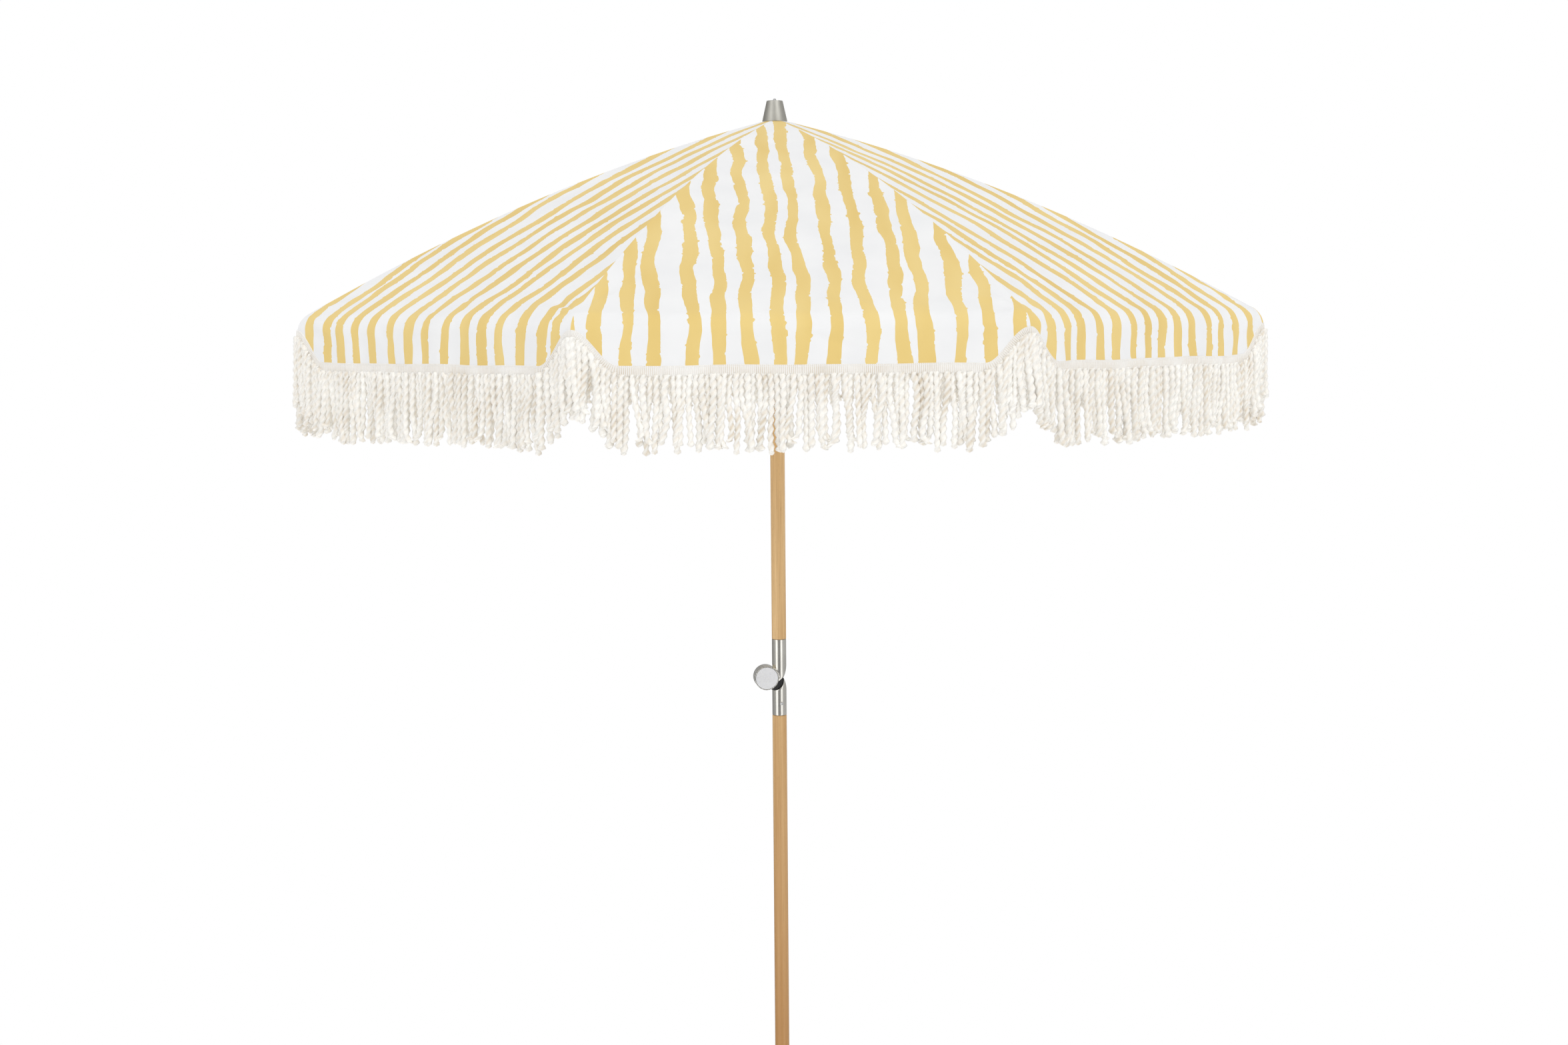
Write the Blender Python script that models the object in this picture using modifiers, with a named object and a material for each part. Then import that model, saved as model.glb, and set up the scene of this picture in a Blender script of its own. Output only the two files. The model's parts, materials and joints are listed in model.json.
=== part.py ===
"""Beach umbrella: a two-piece wooden pole with a tilting metal knuckle, a crown hub and a sliding
runner with eight bowed ribs and eight struts, and an eight-sided fringed canopy.

Metres, +Z up. The origin is the centre of the pole's bottom end. The pole stands on +Z, the flat
side of one canopy panel faces -Y, and the tilting knuckle's drum is on the -X side of the pole.
Every rib assembly is modelled in its radial plane (X outwards, Z up) and turned about Z.
"""

import math

import bmesh
import bpy
from mathutils import Matrix, Vector

# ---------------------------------------------------------------- driving dimensions
GAP = 0.0003                    # clearance between pieces that touch

POLE_R = 0.019
SPIGOT_R = 0.016                # turned-down pole end inside a knuckle sleeve
SPIGOT_LENGTH = 0.038
POLE_SEGMENTS = 40
HUB_SEGMENTS = 32
DRUM_SEGMENTS = 48

KNUCKLE_Z = 1.046               # height of the tilt axis
KNUCKLE_OFFSET = 0.0355         # the tilt axis lies this far beside the pole's axis
KNUCKLE_TURN = math.radians(5)  # the knuckle is turned this much about the pole
SLEEVE_REACH = 0.1015           # tilt axis to the open end of either sleeve
SLEEVE_BORE_R = 0.0164
SLEEVE_BORE_DEPTH = 0.040
DRUM_R = 0.0318
DRUM_DEPTH = 0.021              # depth of one half of the drum
SPLIT = 0.0008                  # half the gap between the two halves of the drum
SCOOP_R = 0.0262                # each sleeve is scooped out beside the other half's drum
SCOOP_X = 0.0194                # the scoop's centre from the tilt axis, towards the pole
SCOOP_RISE = 0.0074             # and towards the sleeve
BOLT_R = 0.005
BOLT_HOLE_R = 0.0053
BUTTON_R = 0.0292
BUTTON_RECESS_DEPTH = 0.007
NUT_POCKET_R = 0.0105
NUT_POCKET_END = 0.007          # distance from the split plane to the pocket's floor
TOOTH_COUNT = 16
SCREW_HEAD_R = 0.0045
SCREW_SHANK_R = 0.002
SCREW_LENGTH = 0.012
SCREW_DROP = 0.069              # tilt axis to a sleeve screw
SCREW_TURN = math.radians(12)   # a sleeve screw sits this far round from the knuckle's front

RIBS = 8
HALF_PANEL = math.pi / RIBS     # half the angle between two ribs
CANOPY_R = 1.25                 # pole axis to a corner of the canopy
CANOPY_PEAK_Z = 2.506
CANOPY_SLOPE = 0.258            # fall of the ribs at the pole
CANOPY_BOW = 0.1208             # growth of that fall, per metre
CANOPY_FLAT_R = 0.036           # the cloth lies flat on the crown inside this radius
CLOTH = 0.0012
PANEL_SAG = 0.008
PANEL_SEAM = 0.0006             # half the gap between two panels' top surfaces
PANEL_HOLE_R = 0.009
SKIRT_DROP = 0.266              # height of the hanging valance with its fringe
SKIRT_THICKNESS = 0.004

PIVOT_R = 0.034                 # radius of both wire rings, which hold ribs and struts
WIRE_R = 0.001
EYE_R = 0.005
EYE_HOLE_R = 0.0016
SLOT_WIDTH = 0.0084
SLOT_FLOOR_R = 0.0285
FLANGE_R = 0.0375
FLANGE_HALF = 0.0075
GROOVE_R = 0.0326
GROOVE_HALF = 0.0014
HUB_SLEEVE_R = 0.027

ROD_R = 0.0035
ROD_DROP = 0.0085               # canopy's top surface to the rib's centre line
ROD_CROWN_DROP = 0.0070         # further drop of the rib at the crown
ROD_MERGE = 0.30                # the further drop has gone this far out
RIB_END_R = 1.235
JOINT_RADIUS_OUT = 0.50         # the strut's joint is this far out along the rib
JOINT_DROP = 0.012              # rib's centre line to the strut's pin
JOINT_LENGTH = 0.016
JOINT_BODY_R = 0.0053
JOINT_PIN_R = 0.0025
TAB_HALF = 0.003
CHEEK_INNER = 0.0034
CHEEK_OUTER = 0.0062
STRUT_R = 0.004

FINIAL_BASE_R = 0.032
FINIAL_TOP_R = 0.021
FINIAL_HEIGHT = 0.054
STUD_R = 0.004
STUD_HOLE_R = 0.0043
STUD_BOTTOM_Z = 2.440

RUNNER_BORE_R = 0.0195
RUNNER_LENGTH = 0.080
RUNNER_KNOB_DROP = 0.048        # runner ring to the lock knob's axis


def cloth_z(radius):
    """Height of the canopy's top surface above a rib, at a radius from the pole."""
    r = max(radius, CANOPY_FLAT_R)
    return CANOPY_PEAK_Z - CANOPY_SLOPE * r - CANOPY_BOW * r * r


def rib_centre(radius):
    """Centre line of a rib in its radial plane."""
    share = max(0.0, 1 - (radius - PIVOT_R) / ROD_MERGE)
    return Vector((radius, 0, cloth_z(radius) - ROD_DROP - ROD_CROWN_DROP * share * share))


def rib_slope_angle(radius):
    """Angle of a rib below the horizontal."""
    step = 0.001
    fall = rib_centre(radius - step).z - rib_centre(radius + step).z
    return math.atan2(fall, 2 * step)


CROWN = rib_centre(PIVOT_R)
JOINT_SLOPE = rib_slope_angle(JOINT_RADIUS_OUT)
PIN = rib_centre(JOINT_RADIUS_OUT) + JOINT_DROP * Vector((-math.sin(JOINT_SLOPE), 0, -math.cos(JOINT_SLOPE)))
RUNNER_Z = 2 * PIN.z - CROWN.z  # rib arm and strut are equally long
STRUT_LENGTH = (PIN - CROWN).length
STRUT_FALL = math.atan2(PIN.z - RUNNER_Z, PIN.x - PIVOT_R)
SKIRT_TOP_Z = cloth_z(CANOPY_R) - CLOTH - 4 * GAP
CAP_Z = cloth_z(0)
LOWER_SLEEVE_Z = KNUCKLE_Z - SLEEVE_REACH
UPPER_SLEEVE_Z = KNUCKLE_Z + SLEEVE_REACH


# ---------------------------------------------------------------- materials
def material(name, colour, roughness, metallic=0.0):
    made = bpy.data.materials.new(name)
    made.use_nodes = True
    shader = made.node_tree.nodes["Principled BSDF"]
    shader.inputs["Base Color"].default_value = (*colour, 1)
    shader.inputs["Roughness"].default_value = roughness
    shader.inputs["Metallic"].default_value = metallic
    return made


def make_materials():
    return {
        "wood": material("wood", (0.60, 0.36, 0.15), 0.45),
        "satin_metal": material("satin_metal", (0.55, 0.53, 0.48), 0.28, 1.0),
        "steel": material("steel", (0.50, 0.50, 0.50), 0.35, 1.0),
        "button": material("button", (0.72, 0.73, 0.76), 0.40),
        "black_plastic": material("black_plastic", (0.02, 0.02, 0.02), 0.50),
        "white_plastic": material("white_plastic", (0.80, 0.79, 0.75), 0.45),
        "fibreglass": material("fibreglass", (0.75, 0.74, 0.70), 0.35),
        "canopy_fabric": material("canopy_fabric", (0.86, 0.82, 0.68), 0.85),
        "fringe_cotton": material("fringe_cotton", (0.80, 0.75, 0.64), 0.95),
    }


# ---------------------------------------------------------------- modelling helpers
def new_object(name, mesh, collection):
    made = bpy.data.objects.new(name, mesh)
    collection.objects.link(made)
    return made


def rod_between(name, start, end, radius, collection, segments=24):
    """A capped cylinder from start to end."""
    start, end = Vector(start), Vector(end)
    bm = bmesh.new()
    bmesh.ops.create_cone(bm, cap_ends=True, segments=segments, radius1=radius, radius2=radius,
                          depth=(end - start).length)
    turn = (end - start).to_track_quat("Z", "Y").to_matrix().to_4x4()
    bm.transform(Matrix.Translation((start + end) / 2) @ turn)
    mesh = bpy.data.meshes.new(name)
    bm.to_mesh(mesh)
    bm.free()
    return new_object(name, mesh, collection)


def box_between(name, low, high, collection):
    """A box from its lowest corner to its highest corner."""
    low, high = Vector(low), Vector(high)
    bm = bmesh.new()
    bmesh.ops.create_cube(bm, size=1)
    bmesh.ops.scale(bm, vec=high - low, verts=bm.verts)
    bmesh.ops.translate(bm, vec=(low + high) / 2, verts=bm.verts)
    mesh = bpy.data.meshes.new(name)
    bm.to_mesh(mesh)
    bm.free()
    return new_object(name, mesh, collection)


def evaluated_mesh(source):
    """The object's mesh with its modifiers applied, welded and with its faces pointing out."""
    bpy.context.view_layer.update()
    mesh = bpy.data.meshes.new_from_object(source.evaluated_get(bpy.context.evaluated_depsgraph_get()))
    bm = bmesh.new()
    bm.from_mesh(mesh)
    bmesh.ops.remove_doubles(bm, verts=bm.verts, dist=1e-6)
    bmesh.ops.recalc_face_normals(bm, faces=bm.faces)
    bm.to_mesh(mesh)
    bm.free()
    return mesh


def combine(target, tool, operation):
    """Applies one exact Boolean to target and removes the tool."""
    modifier = target.modifiers.new(operation.title(), "BOOLEAN")
    modifier.operation = operation
    modifier.solver = "EXACT"
    modifier.object = tool
    mesh = evaluated_mesh(target)
    target.modifiers.clear()
    target.data = mesh
    bpy.data.objects.remove(tool)
    return target


def turned(name, profile, collection, segments=POLE_SEGMENTS, closed=False):
    """A profile of (radius, height) points, top to bottom on its outer side, turned about Z."""
    bm = bmesh.new()
    points = [bm.verts.new((radius, 0, height)) for radius, height in profile]
    for first, second in zip(points, points[1:]):
        bm.edges.new((first, second))
    if closed:
        bm.edges.new((points[-1], points[0]))
    mesh = bpy.data.meshes.new(name)
    bm.to_mesh(mesh)
    bm.free()
    made = new_object(name, mesh, collection)
    screw = made.modifiers.new("Turn", "SCREW")
    screw.steps = screw.render_steps = segments
    screw.use_merge_vertices = True
    screw.merge_threshold = 1e-6
    mesh = evaluated_mesh(made)
    made.modifiers.clear()
    made.data = mesh
    return made


def bent_rod(name, points, radius, collection, resolution=1):
    """A round bar along the points, as a welded mesh."""
    curve = bpy.data.curves.new(name, "CURVE")
    curve.dimensions = "3D"
    curve.bevel_depth = radius
    curve.bevel_resolution = resolution
    curve.use_fill_caps = True
    spline = curve.splines.new("POLY")
    spline.points.add(len(points) - 1)
    for spot, point in zip(spline.points, points):
        spot.co = (*point, 1)
    source = new_object(name, curve, collection)
    mesh = evaluated_mesh(source)
    bpy.data.objects.remove(source)
    return new_object(name, mesh, collection)


def finish(made, paint, parent=None, smooth_angle=40):
    """Gives a finished piece its material, smooth shading and parent."""
    made.data.materials.clear()
    made.data.materials.append(paint)
    made.data.shade_smooth()
    made.data.set_sharp_from_angle(angle=math.radians(smooth_angle))
    made.parent = parent
    return made


def empty(name, location, collection, parent=None, turn_z=0.0):
    made = bpy.data.objects.new(name, None)
    made.location = location
    made.rotation_euler = (0, 0, turn_z)
    made.parent = parent
    collection.objects.link(made)
    return made


# ---------------------------------------------------------------- poles
def screw_direction(side):
    """Outward direction of a sleeve screw in the knuckle's frame: side -1 is its front, 1 its back."""
    return Vector((math.sin(SCREW_TURN), side * math.cos(SCREW_TURN), 0))


def screw_hole(height, side, collection):
    """Cutter for a sleeve screw, in the frame of the pole's axis with the knuckle's turn."""
    out = Matrix.Rotation(KNUCKLE_TURN, 3, "Z") @ screw_direction(side)
    middle = Vector((0, 0, height))
    return rod_between("screw_hole", middle + out * (POLE_R - SCREW_LENGTH - 0.002), middle + out * 0.03,
                       SCREW_SHANK_R + GAP, collection, 16)


def lower_pole(collection):
    end_chamfer = 0.002
    shoulder = LOWER_SLEEVE_Z - GAP
    made = turned("lower_pole", [
        (0, shoulder + SPIGOT_LENGTH), (SPIGOT_R, shoulder + SPIGOT_LENGTH), (SPIGOT_R, shoulder),
        (POLE_R, shoulder), (POLE_R, end_chamfer), (POLE_R - end_chamfer, 0), (0, 0)], collection)
    return combine(made, screw_hole(KNUCKLE_Z - SCREW_DROP, -1, collection), "DIFFERENCE")


def upper_pole(collection):
    shoulder = UPPER_SLEEVE_Z + GAP
    top = CROWN.z - FLANGE_HALF - 0.005 - GAP
    made = turned("upper_pole", [
        (0, STUD_BOTTOM_Z - 0.004), (STUD_HOLE_R, STUD_BOTTOM_Z - 0.004), (STUD_HOLE_R, top),
        (POLE_R, top), (POLE_R, shoulder), (SPIGOT_R, shoulder),
        (SPIGOT_R, shoulder - SPIGOT_LENGTH), (0, shoulder - SPIGOT_LENGTH)], collection)
    return combine(made, screw_hole(KNUCKLE_Z + SCREW_DROP, 1, collection), "DIFFERENCE")


# ---------------------------------------------------------------- tilting knuckle
# Modelled round the tilt axis: X to the right, Y to the back, Z up, the pole's axis at +X.
def knuckle_half(name, collection):
    """Upper half: its sleeve runs down and sweeps into the front half of the drum."""
    sweep_top = 0.038
    waist = KNUCKLE_OFFSET + 0.009
    web_bottom, web_slope = -0.010, math.radians(38)
    side = KNUCKLE_OFFSET + POLE_R
    inset = side - waist
    sweep_r = (inset * inset + sweep_top * sweep_top) / (2 * inset)
    far = 0.05

    foot = rod_between(name, (KNUCKLE_OFFSET, 0, web_bottom), (KNUCKLE_OFFSET, 0, sweep_top), POLE_R,
                       collection, POLE_SEGMENTS)
    sweep = rod_between("sweep", (side - sweep_r, -far, sweep_top), (side - sweep_r, far, sweep_top),
                        sweep_r + 1e-5, collection, 96)
    combine(foot, sweep, "INTERSECT")
    undercut = box_between("undercut", (-far, -far, -far), (far, far, 0), collection)
    undercut.location = (waist, 0, 0.001)
    undercut.rotation_euler = (0, -web_slope, 0)
    combine(foot, undercut, "DIFFERENCE")
    sleeve = rod_between("sleeve", (KNUCKLE_OFFSET, 0, sweep_top - 0.001), (KNUCKLE_OFFSET, 0, SLEEVE_REACH),
                         POLE_R, collection, POLE_SEGMENTS)
    combine(foot, sleeve, "UNION")
    scoop = rod_between("scoop", (SCOOP_X, -SPLIT, SCOOP_RISE), (SCOOP_X, far, SCOOP_RISE), SCOOP_R,
                        collection, DRUM_SEGMENTS)
    combine(foot, scoop, "DIFFERENCE")
    drum = rod_between("drum", (0, -DRUM_DEPTH, 0), (0, -SPLIT, 0), DRUM_R, collection, DRUM_SEGMENTS)
    combine(foot, drum, "UNION")
    bore = rod_between("bore", (KNUCKLE_OFFSET, 0, SLEEVE_REACH - SLEEVE_BORE_DEPTH),
                       (KNUCKLE_OFFSET, 0, SLEEVE_REACH + 0.01), SLEEVE_BORE_R, collection, POLE_SEGMENTS)
    combine(foot, bore, "DIFFERENCE")
    axle = rod_between("axle", (0, -far, 0), (0, 0.01, 0), BOLT_HOLE_R, collection, 24)
    combine(foot, axle, "DIFFERENCE")
    out = screw_direction(1)
    middle = Vector((KNUCKLE_OFFSET, 0, SCREW_DROP))
    hole = rod_between("hole", middle + out * 0.008, middle + out * 0.03, SCREW_SHANK_R + GAP, collection, 16)
    return combine(foot, hole, "DIFFERENCE")


def upper_knuckle(collection):
    made = knuckle_half("upper_knuckle", collection)
    recess_floor = -DRUM_DEPTH + BUTTON_RECESS_DEPTH
    recess = rod_between("recess", (0, -0.03, 0), (0, recess_floor, 0), BUTTON_R + 0.0004, collection,
                         DRUM_SEGMENTS)
    combine(made, recess, "DIFFERENCE")
    pocket = rod_between("pocket", (0, -0.03, 0), (0, -NUT_POCKET_END, 0), NUT_POCKET_R, collection, 24)
    return combine(made, pocket, "DIFFERENCE")


def lower_knuckle(collection):
    """The same half turned over, with a recess for the tooth ring in its split face."""
    made = knuckle_half("lower_knuckle", collection)
    recess = rod_between("recess", (0, -0.007, 0), (0, 0.01, 0), 0.017, collection, 32)
    combine(made, recess, "DIFFERENCE")
    made.data.transform(Matrix.Rotation(math.pi, 4, "X"))
    return made


def tooth_ring(collection):
    """Ring with square teeth in the lower half's recess, which sets the tilt steps."""
    inner, root, tip, half_notch = BOLT_HOLE_R + 0.001, 0.0135, 0.016, 0.0013
    front, back = 0.0012, 0.0066
    made = rod_between("tooth_ring", (0, front, 0), (0, back, 0), tip, collection, 32)
    for number in range(TOOTH_COUNT):
        notch = box_between("notch", (root, front - 0.01, -half_notch), (tip + 0.01, back + 0.01, half_notch),
                            collection)
        notch.rotation_euler = (0, 2 * math.pi * number / TOOTH_COUNT, 0)
        combine(made, notch, "DIFFERENCE")
    hole = rod_between("hole", (0, -0.01, 0), (0, 0.02, 0), inner, collection, 24)
    return combine(made, hole, "DIFFERENCE")


def arc(radius, start_deg, end_deg, steps, centre=(0, 0)):
    """Points of an arc in a flat outline."""
    angles = [math.radians(start_deg + (end_deg - start_deg) * n / steps) for n in range(steps + 1)]
    return [(centre[0] + radius * math.cos(angle), centre[1] + radius * math.sin(angle)) for angle in angles]


def flat_plate(name, outlines, thickness, collection):
    """A plate from closed outlines in X and Z, centred on Y = 0; an outline inside another is a hole."""
    curve = bpy.data.curves.new(name, "CURVE")
    curve.dimensions = "2D"
    curve.fill_mode = "BOTH"
    curve.extrude = thickness / 2
    for outline in outlines:
        spline = curve.splines.new("POLY")
        spline.points.add(len(outline) - 1)
        for spot, (x, z) in zip(spline.points, outline):
            spot.co = (x, z, 0, 1)
        spline.use_cyclic_u = True
    source = new_object(name, curve, collection)
    mesh = evaluated_mesh(source)
    bpy.data.objects.remove(source)
    mesh.transform(Matrix.Rotation(math.pi / 2, 4, "X"))
    return new_object(name, mesh, collection)


def friction_washer(collection):
    """Thin black disc between the halves, with a lobe and a thick lip that fill the scoop beside the drum."""
    thickness, lip_depth = 0.001, 0.012
    lobe = arc(SCOOP_R - 0.0006, -100, 10, 28, (SCOOP_X, -SCOOP_RISE))
    disc = arc(DRUM_R - 0.001, 4, 281, 44)
    hole = arc(BOLT_HOLE_R + 0.0005, 0, 345, 23)
    made = flat_plate("friction_washer", [lobe + disc, hole], thickness, collection)
    lip_outside = arc(SCOOP_R - 0.0009, -111, 15, 24, (SCOOP_X, -SCOOP_RISE))
    lip_inside = arc(DRUM_R + 0.0005, -19, -71, 16)
    lip = flat_plate("lip", [lip_outside + lip_inside], lip_depth, collection)
    lip.data.transform(Matrix.Translation((0, -lip_depth / 2, 0)))
    return combine(made, lip, "UNION")


def along_tilt_axis(made):
    """Turns a piece modelled about Z so that its top faces the knuckle's front, -Y."""
    made.data.transform(Matrix.Rotation(math.pi / 2, 4, "X"))
    return made


def pivot_bolt(collection):
    head_r, head_back, head_front = 0.009, -0.0245, -DRUM_DEPTH - GAP
    made = turned("pivot_bolt", [
        (0, 0.012), (BOLT_R - 0.0008, 0.012), (BOLT_R, 0.0112), (BOLT_R, head_front), (head_r, head_front),
        (head_r, head_back + 0.001), (head_r - 0.0015, head_back), (0, head_back)], collection, 24)
    return along_tilt_axis(made)


def pivot_nut(collection):
    low, high = NUT_POCKET_END + GAP, NUT_POCKET_END + GAP + 0.004
    made = rod_between("pivot_nut", (0, 0, low), (0, 0, high), 0.0092, collection, 6)
    hole = rod_between("hole", (0, 0, low - 0.01), (0, 0, high + 0.01), BOLT_HOLE_R, collection, 24)
    return along_tilt_axis(combine(made, hole, "DIFFERENCE"))


def tilt_button(collection):
    """Plain round push plate in the front of the drum."""
    back, front, edge = 0.0176, 0.0216, 0.0008
    made = turned("tilt_button", [
        (0, front), (BUTTON_R - edge, front), (BUTTON_R, front - edge), (BUTTON_R, back), (0, back)],
        collection, DRUM_SEGMENTS)
    return along_tilt_axis(made)


def button_spring(collection):
    turns, steps, coil_r, wire_r = 3, 10, 0.0072, 0.0005
    low, high = 0.0125, 0.0169
    points = []
    for step in range(turns * steps + 1):
        angle = 2 * math.pi * step / steps
        height = low + (high - low) * step / (turns * steps)
        points.append((coil_r * math.cos(angle), coil_r * math.sin(angle), height))
    return along_tilt_axis(bent_rod("button_spring", points, wire_r, collection))


def sleeve_screw(name, side, collection):
    """Cross-head screw through a sleeve into the pole: side -1 at the knuckle's front, 1 at its back."""
    head_z, head_height = POLE_R + GAP, 0.0020
    made = turned(name, [
        (0, head_z + head_height), (SCREW_HEAD_R * 0.7, head_z + head_height * 0.85),
        (SCREW_HEAD_R, head_z + head_height * 0.3), (SCREW_HEAD_R, head_z), (SCREW_SHANK_R, head_z),
        (SCREW_SHANK_R, POLE_R - SCREW_LENGTH + 0.002), (0, POLE_R - SCREW_LENGTH)], collection, 16)
    for turn in (0, math.pi / 2):
        groove = box_between("groove", (-0.0025, -0.0004, head_z + head_height * 0.4), (0.0025, 0.0004, 0.03),
                             collection)
        groove.rotation_euler = (0, 0, turn)
        combine(made, groove, "DIFFERENCE")
    outwards = screw_direction(side).to_track_quat("Z", "Y").to_matrix().to_4x4()
    place = Matrix.Translation((KNUCKLE_OFFSET, 0, side * SCREW_DROP))
    made.data.transform(place @ outwards)
    return made


# ---------------------------------------------------------------- crown, runner and finial
def cut_slots(made, height, collection):
    """Cuts one slot for each rib or strut through a flange."""
    for number in range(RIBS):
        slot = box_between("slot", (SLOT_FLOOR_R, -SLOT_WIDTH / 2, height - 2 * FLANGE_HALF),
                           (2 * FLANGE_R, SLOT_WIDTH / 2, height + 2 * FLANGE_HALF), collection)
        slot.rotation_euler = (0, 0, rib_turn(number))
        combine(made, slot, "DIFFERENCE")
    return made


def flange_profile(height):
    """Outer side of a slotted flange with a groove for its wire ring, top to bottom."""
    edge = 0.001
    return [
        (FLANGE_R - edge, height + FLANGE_HALF), (FLANGE_R, height + FLANGE_HALF - edge),
        (FLANGE_R, height + GROOVE_HALF), (GROOVE_R, height + GROOVE_HALF), (GROOVE_R, height - GROOVE_HALF),
        (FLANGE_R, height - GROOVE_HALF), (FLANGE_R, height - FLANGE_HALF + edge),
        (FLANGE_R - edge, height - FLANGE_HALF)]


def crown_hub(collection):
    top = CROWN.z + FLANGE_HALF
    ceiling = CROWN.z - FLANGE_HALF - 0.005
    bottom = ceiling - 0.045
    profile = [(STUD_HOLE_R, top)] + flange_profile(CROWN.z) + [
        (HUB_SLEEVE_R, CROWN.z - FLANGE_HALF), (HUB_SLEEVE_R, bottom), (POLE_R + GAP, bottom),
        (POLE_R + GAP, ceiling), (STUD_HOLE_R, ceiling)]
    return cut_slots(turned("crown_hub", profile, collection, HUB_SEGMENTS, closed=True), CROWN.z, collection)


def runner(collection):
    top = RUNNER_Z + FLANGE_HALF
    bottom = top - RUNNER_LENGTH
    grip_r, foot_r, foot = 0.025, 0.028, 0.008
    profile = [(RUNNER_BORE_R, top)] + flange_profile(RUNNER_Z) + [
        (HUB_SLEEVE_R, RUNNER_Z - FLANGE_HALF), (HUB_SLEEVE_R, RUNNER_Z - 0.018), (grip_r, RUNNER_Z - 0.022),
        (grip_r, bottom + foot), (foot_r, bottom + foot - 0.003), (foot_r, bottom), (RUNNER_BORE_R, bottom)]
    made = cut_slots(turned("runner", profile, collection, HUB_SEGMENTS, closed=True), RUNNER_Z, collection)
    height = RUNNER_Z - RUNNER_KNOB_DROP
    hole = rod_between("hole", (0, 0, height), (0, -0.05, height), 0.0043, collection, 24)
    return combine(made, hole, "DIFFERENCE")


def runner_knob(collection):
    """Pull knob that locks the runner; its nose stops just short of the pole."""
    nose, shoulder, stem_r, knob_r, knob_length = POLE_R + 0.0006, 0.0257, 0.004, 0.008, 0.009
    made = turned("runner_knob", [
        (0, shoulder + knob_length), (knob_r - 0.002, shoulder + knob_length),
        (knob_r, shoulder + knob_length - 0.002), (knob_r, shoulder + 0.001), (knob_r - 0.001, shoulder),
        (stem_r, shoulder), (stem_r, nose), (0, nose)], collection, 24)
    return along_tilt_axis(made)


def wire_ring(name, collection):
    bpy.ops.mesh.primitive_torus_add(major_radius=PIVOT_R, minor_radius=WIRE_R, major_segments=40,
                                     minor_segments=6)
    made = bpy.context.active_object
    made.name = name
    for linked in list(made.users_collection):
        linked.objects.unlink(made)
    collection.objects.link(made)
    return made


def canopy_washer(collection):
    washer_r = 0.032
    top = CAP_Z - CLOTH - GAP
    bottom = CROWN.z + FLANGE_HALF + GAP
    return turned("canopy_washer", [
        (STUD_HOLE_R, top), (washer_r - 0.002, top), (washer_r, top - 0.002), (washer_r, bottom),
        (STUD_HOLE_R, bottom)],
        collection, 24, closed=True)


def finial(collection):
    base = CAP_Z + GAP
    top = base + FINIAL_HEIGHT
    edge = 0.0015
    return turned("finial", [
        (STUD_HOLE_R, top), (FINIAL_TOP_R - edge, top), (FINIAL_TOP_R, top - edge),
        (FINIAL_BASE_R, base + 0.003), (FINIAL_BASE_R - edge, base), (STUD_HOLE_R, base)],
        collection, HUB_SEGMENTS, closed=True)


def finial_stud(collection):
    """Stud that clamps cloth and finial to the pole; its rounded tip stands out at the top."""
    top = CAP_Z + FINIAL_HEIGHT + 0.0065
    return turned("finial_stud", [
        (0, top), (STUD_R * 0.6, top - 0.0008), (STUD_R, top - 0.003), (STUD_R, STUD_BOTTOM_Z + 0.001),
        (STUD_R - 0.001, STUD_BOTTOM_Z), (0, STUD_BOTTOM_Z)], collection, 24)


# ---------------------------------------------------------------- ribs and struts
def rib_turn(number):
    """Turn about Z of a rib; the panel between ribs 0 and 1 faces -Y."""
    return -math.pi / 2 - HALF_PANEL + 2 * HALF_PANEL * number


def panel_turn(number):
    return rib_turn(number) + HALF_PANEL


def rib(collection):
    """Bowed rod with an eye for the crown's wire ring, about its crown pivot."""
    spans = 12
    points = [rib_centre(PIVOT_R + 0.003 + (RIB_END_R - PIVOT_R - 0.003) * n / spans) - CROWN
              for n in range(spans + 1)]
    made = bent_rod("rib", points, ROD_R, collection)
    eye = rod_between("eye", (0, -ROD_R, 0), (0, ROD_R, 0), EYE_R, collection, 16)
    combine(made, eye, "UNION")
    hole = rod_between("hole", (0, -0.01, 0), (0, 0.01, 0), EYE_HOLE_R, collection, 8)
    return combine(made, hole, "DIFFERENCE")


def rib_joint(collection):
    """Clamp round the rib with a tab and a cross pin for the strut, about the pin."""
    half = JOINT_LENGTH / 2
    made = rod_between("rib_joint", (-half, 0, JOINT_DROP), (half, 0, JOINT_DROP), JOINT_BODY_R,
                       collection, 14)
    tab = box_between("tab", (-0.0040, -TAB_HALF, -0.0035), (0.0040, TAB_HALF, JOINT_DROP - 0.001),
                      collection)
    combine(made, tab, "UNION")
    pin = rod_between("pin", (0, -0.008, 0), (0, 0.008, 0), JOINT_PIN_R, collection, 12)
    combine(made, pin, "UNION")
    hole = rod_between("hole", (-0.02, 0, JOINT_DROP), (0.02, 0, JOINT_DROP), ROD_R + GAP, collection, 14)
    combine(made, hole, "DIFFERENCE")
    made.data.transform(Matrix.Rotation(JOINT_SLOPE, 4, "Y"))
    return made


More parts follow.
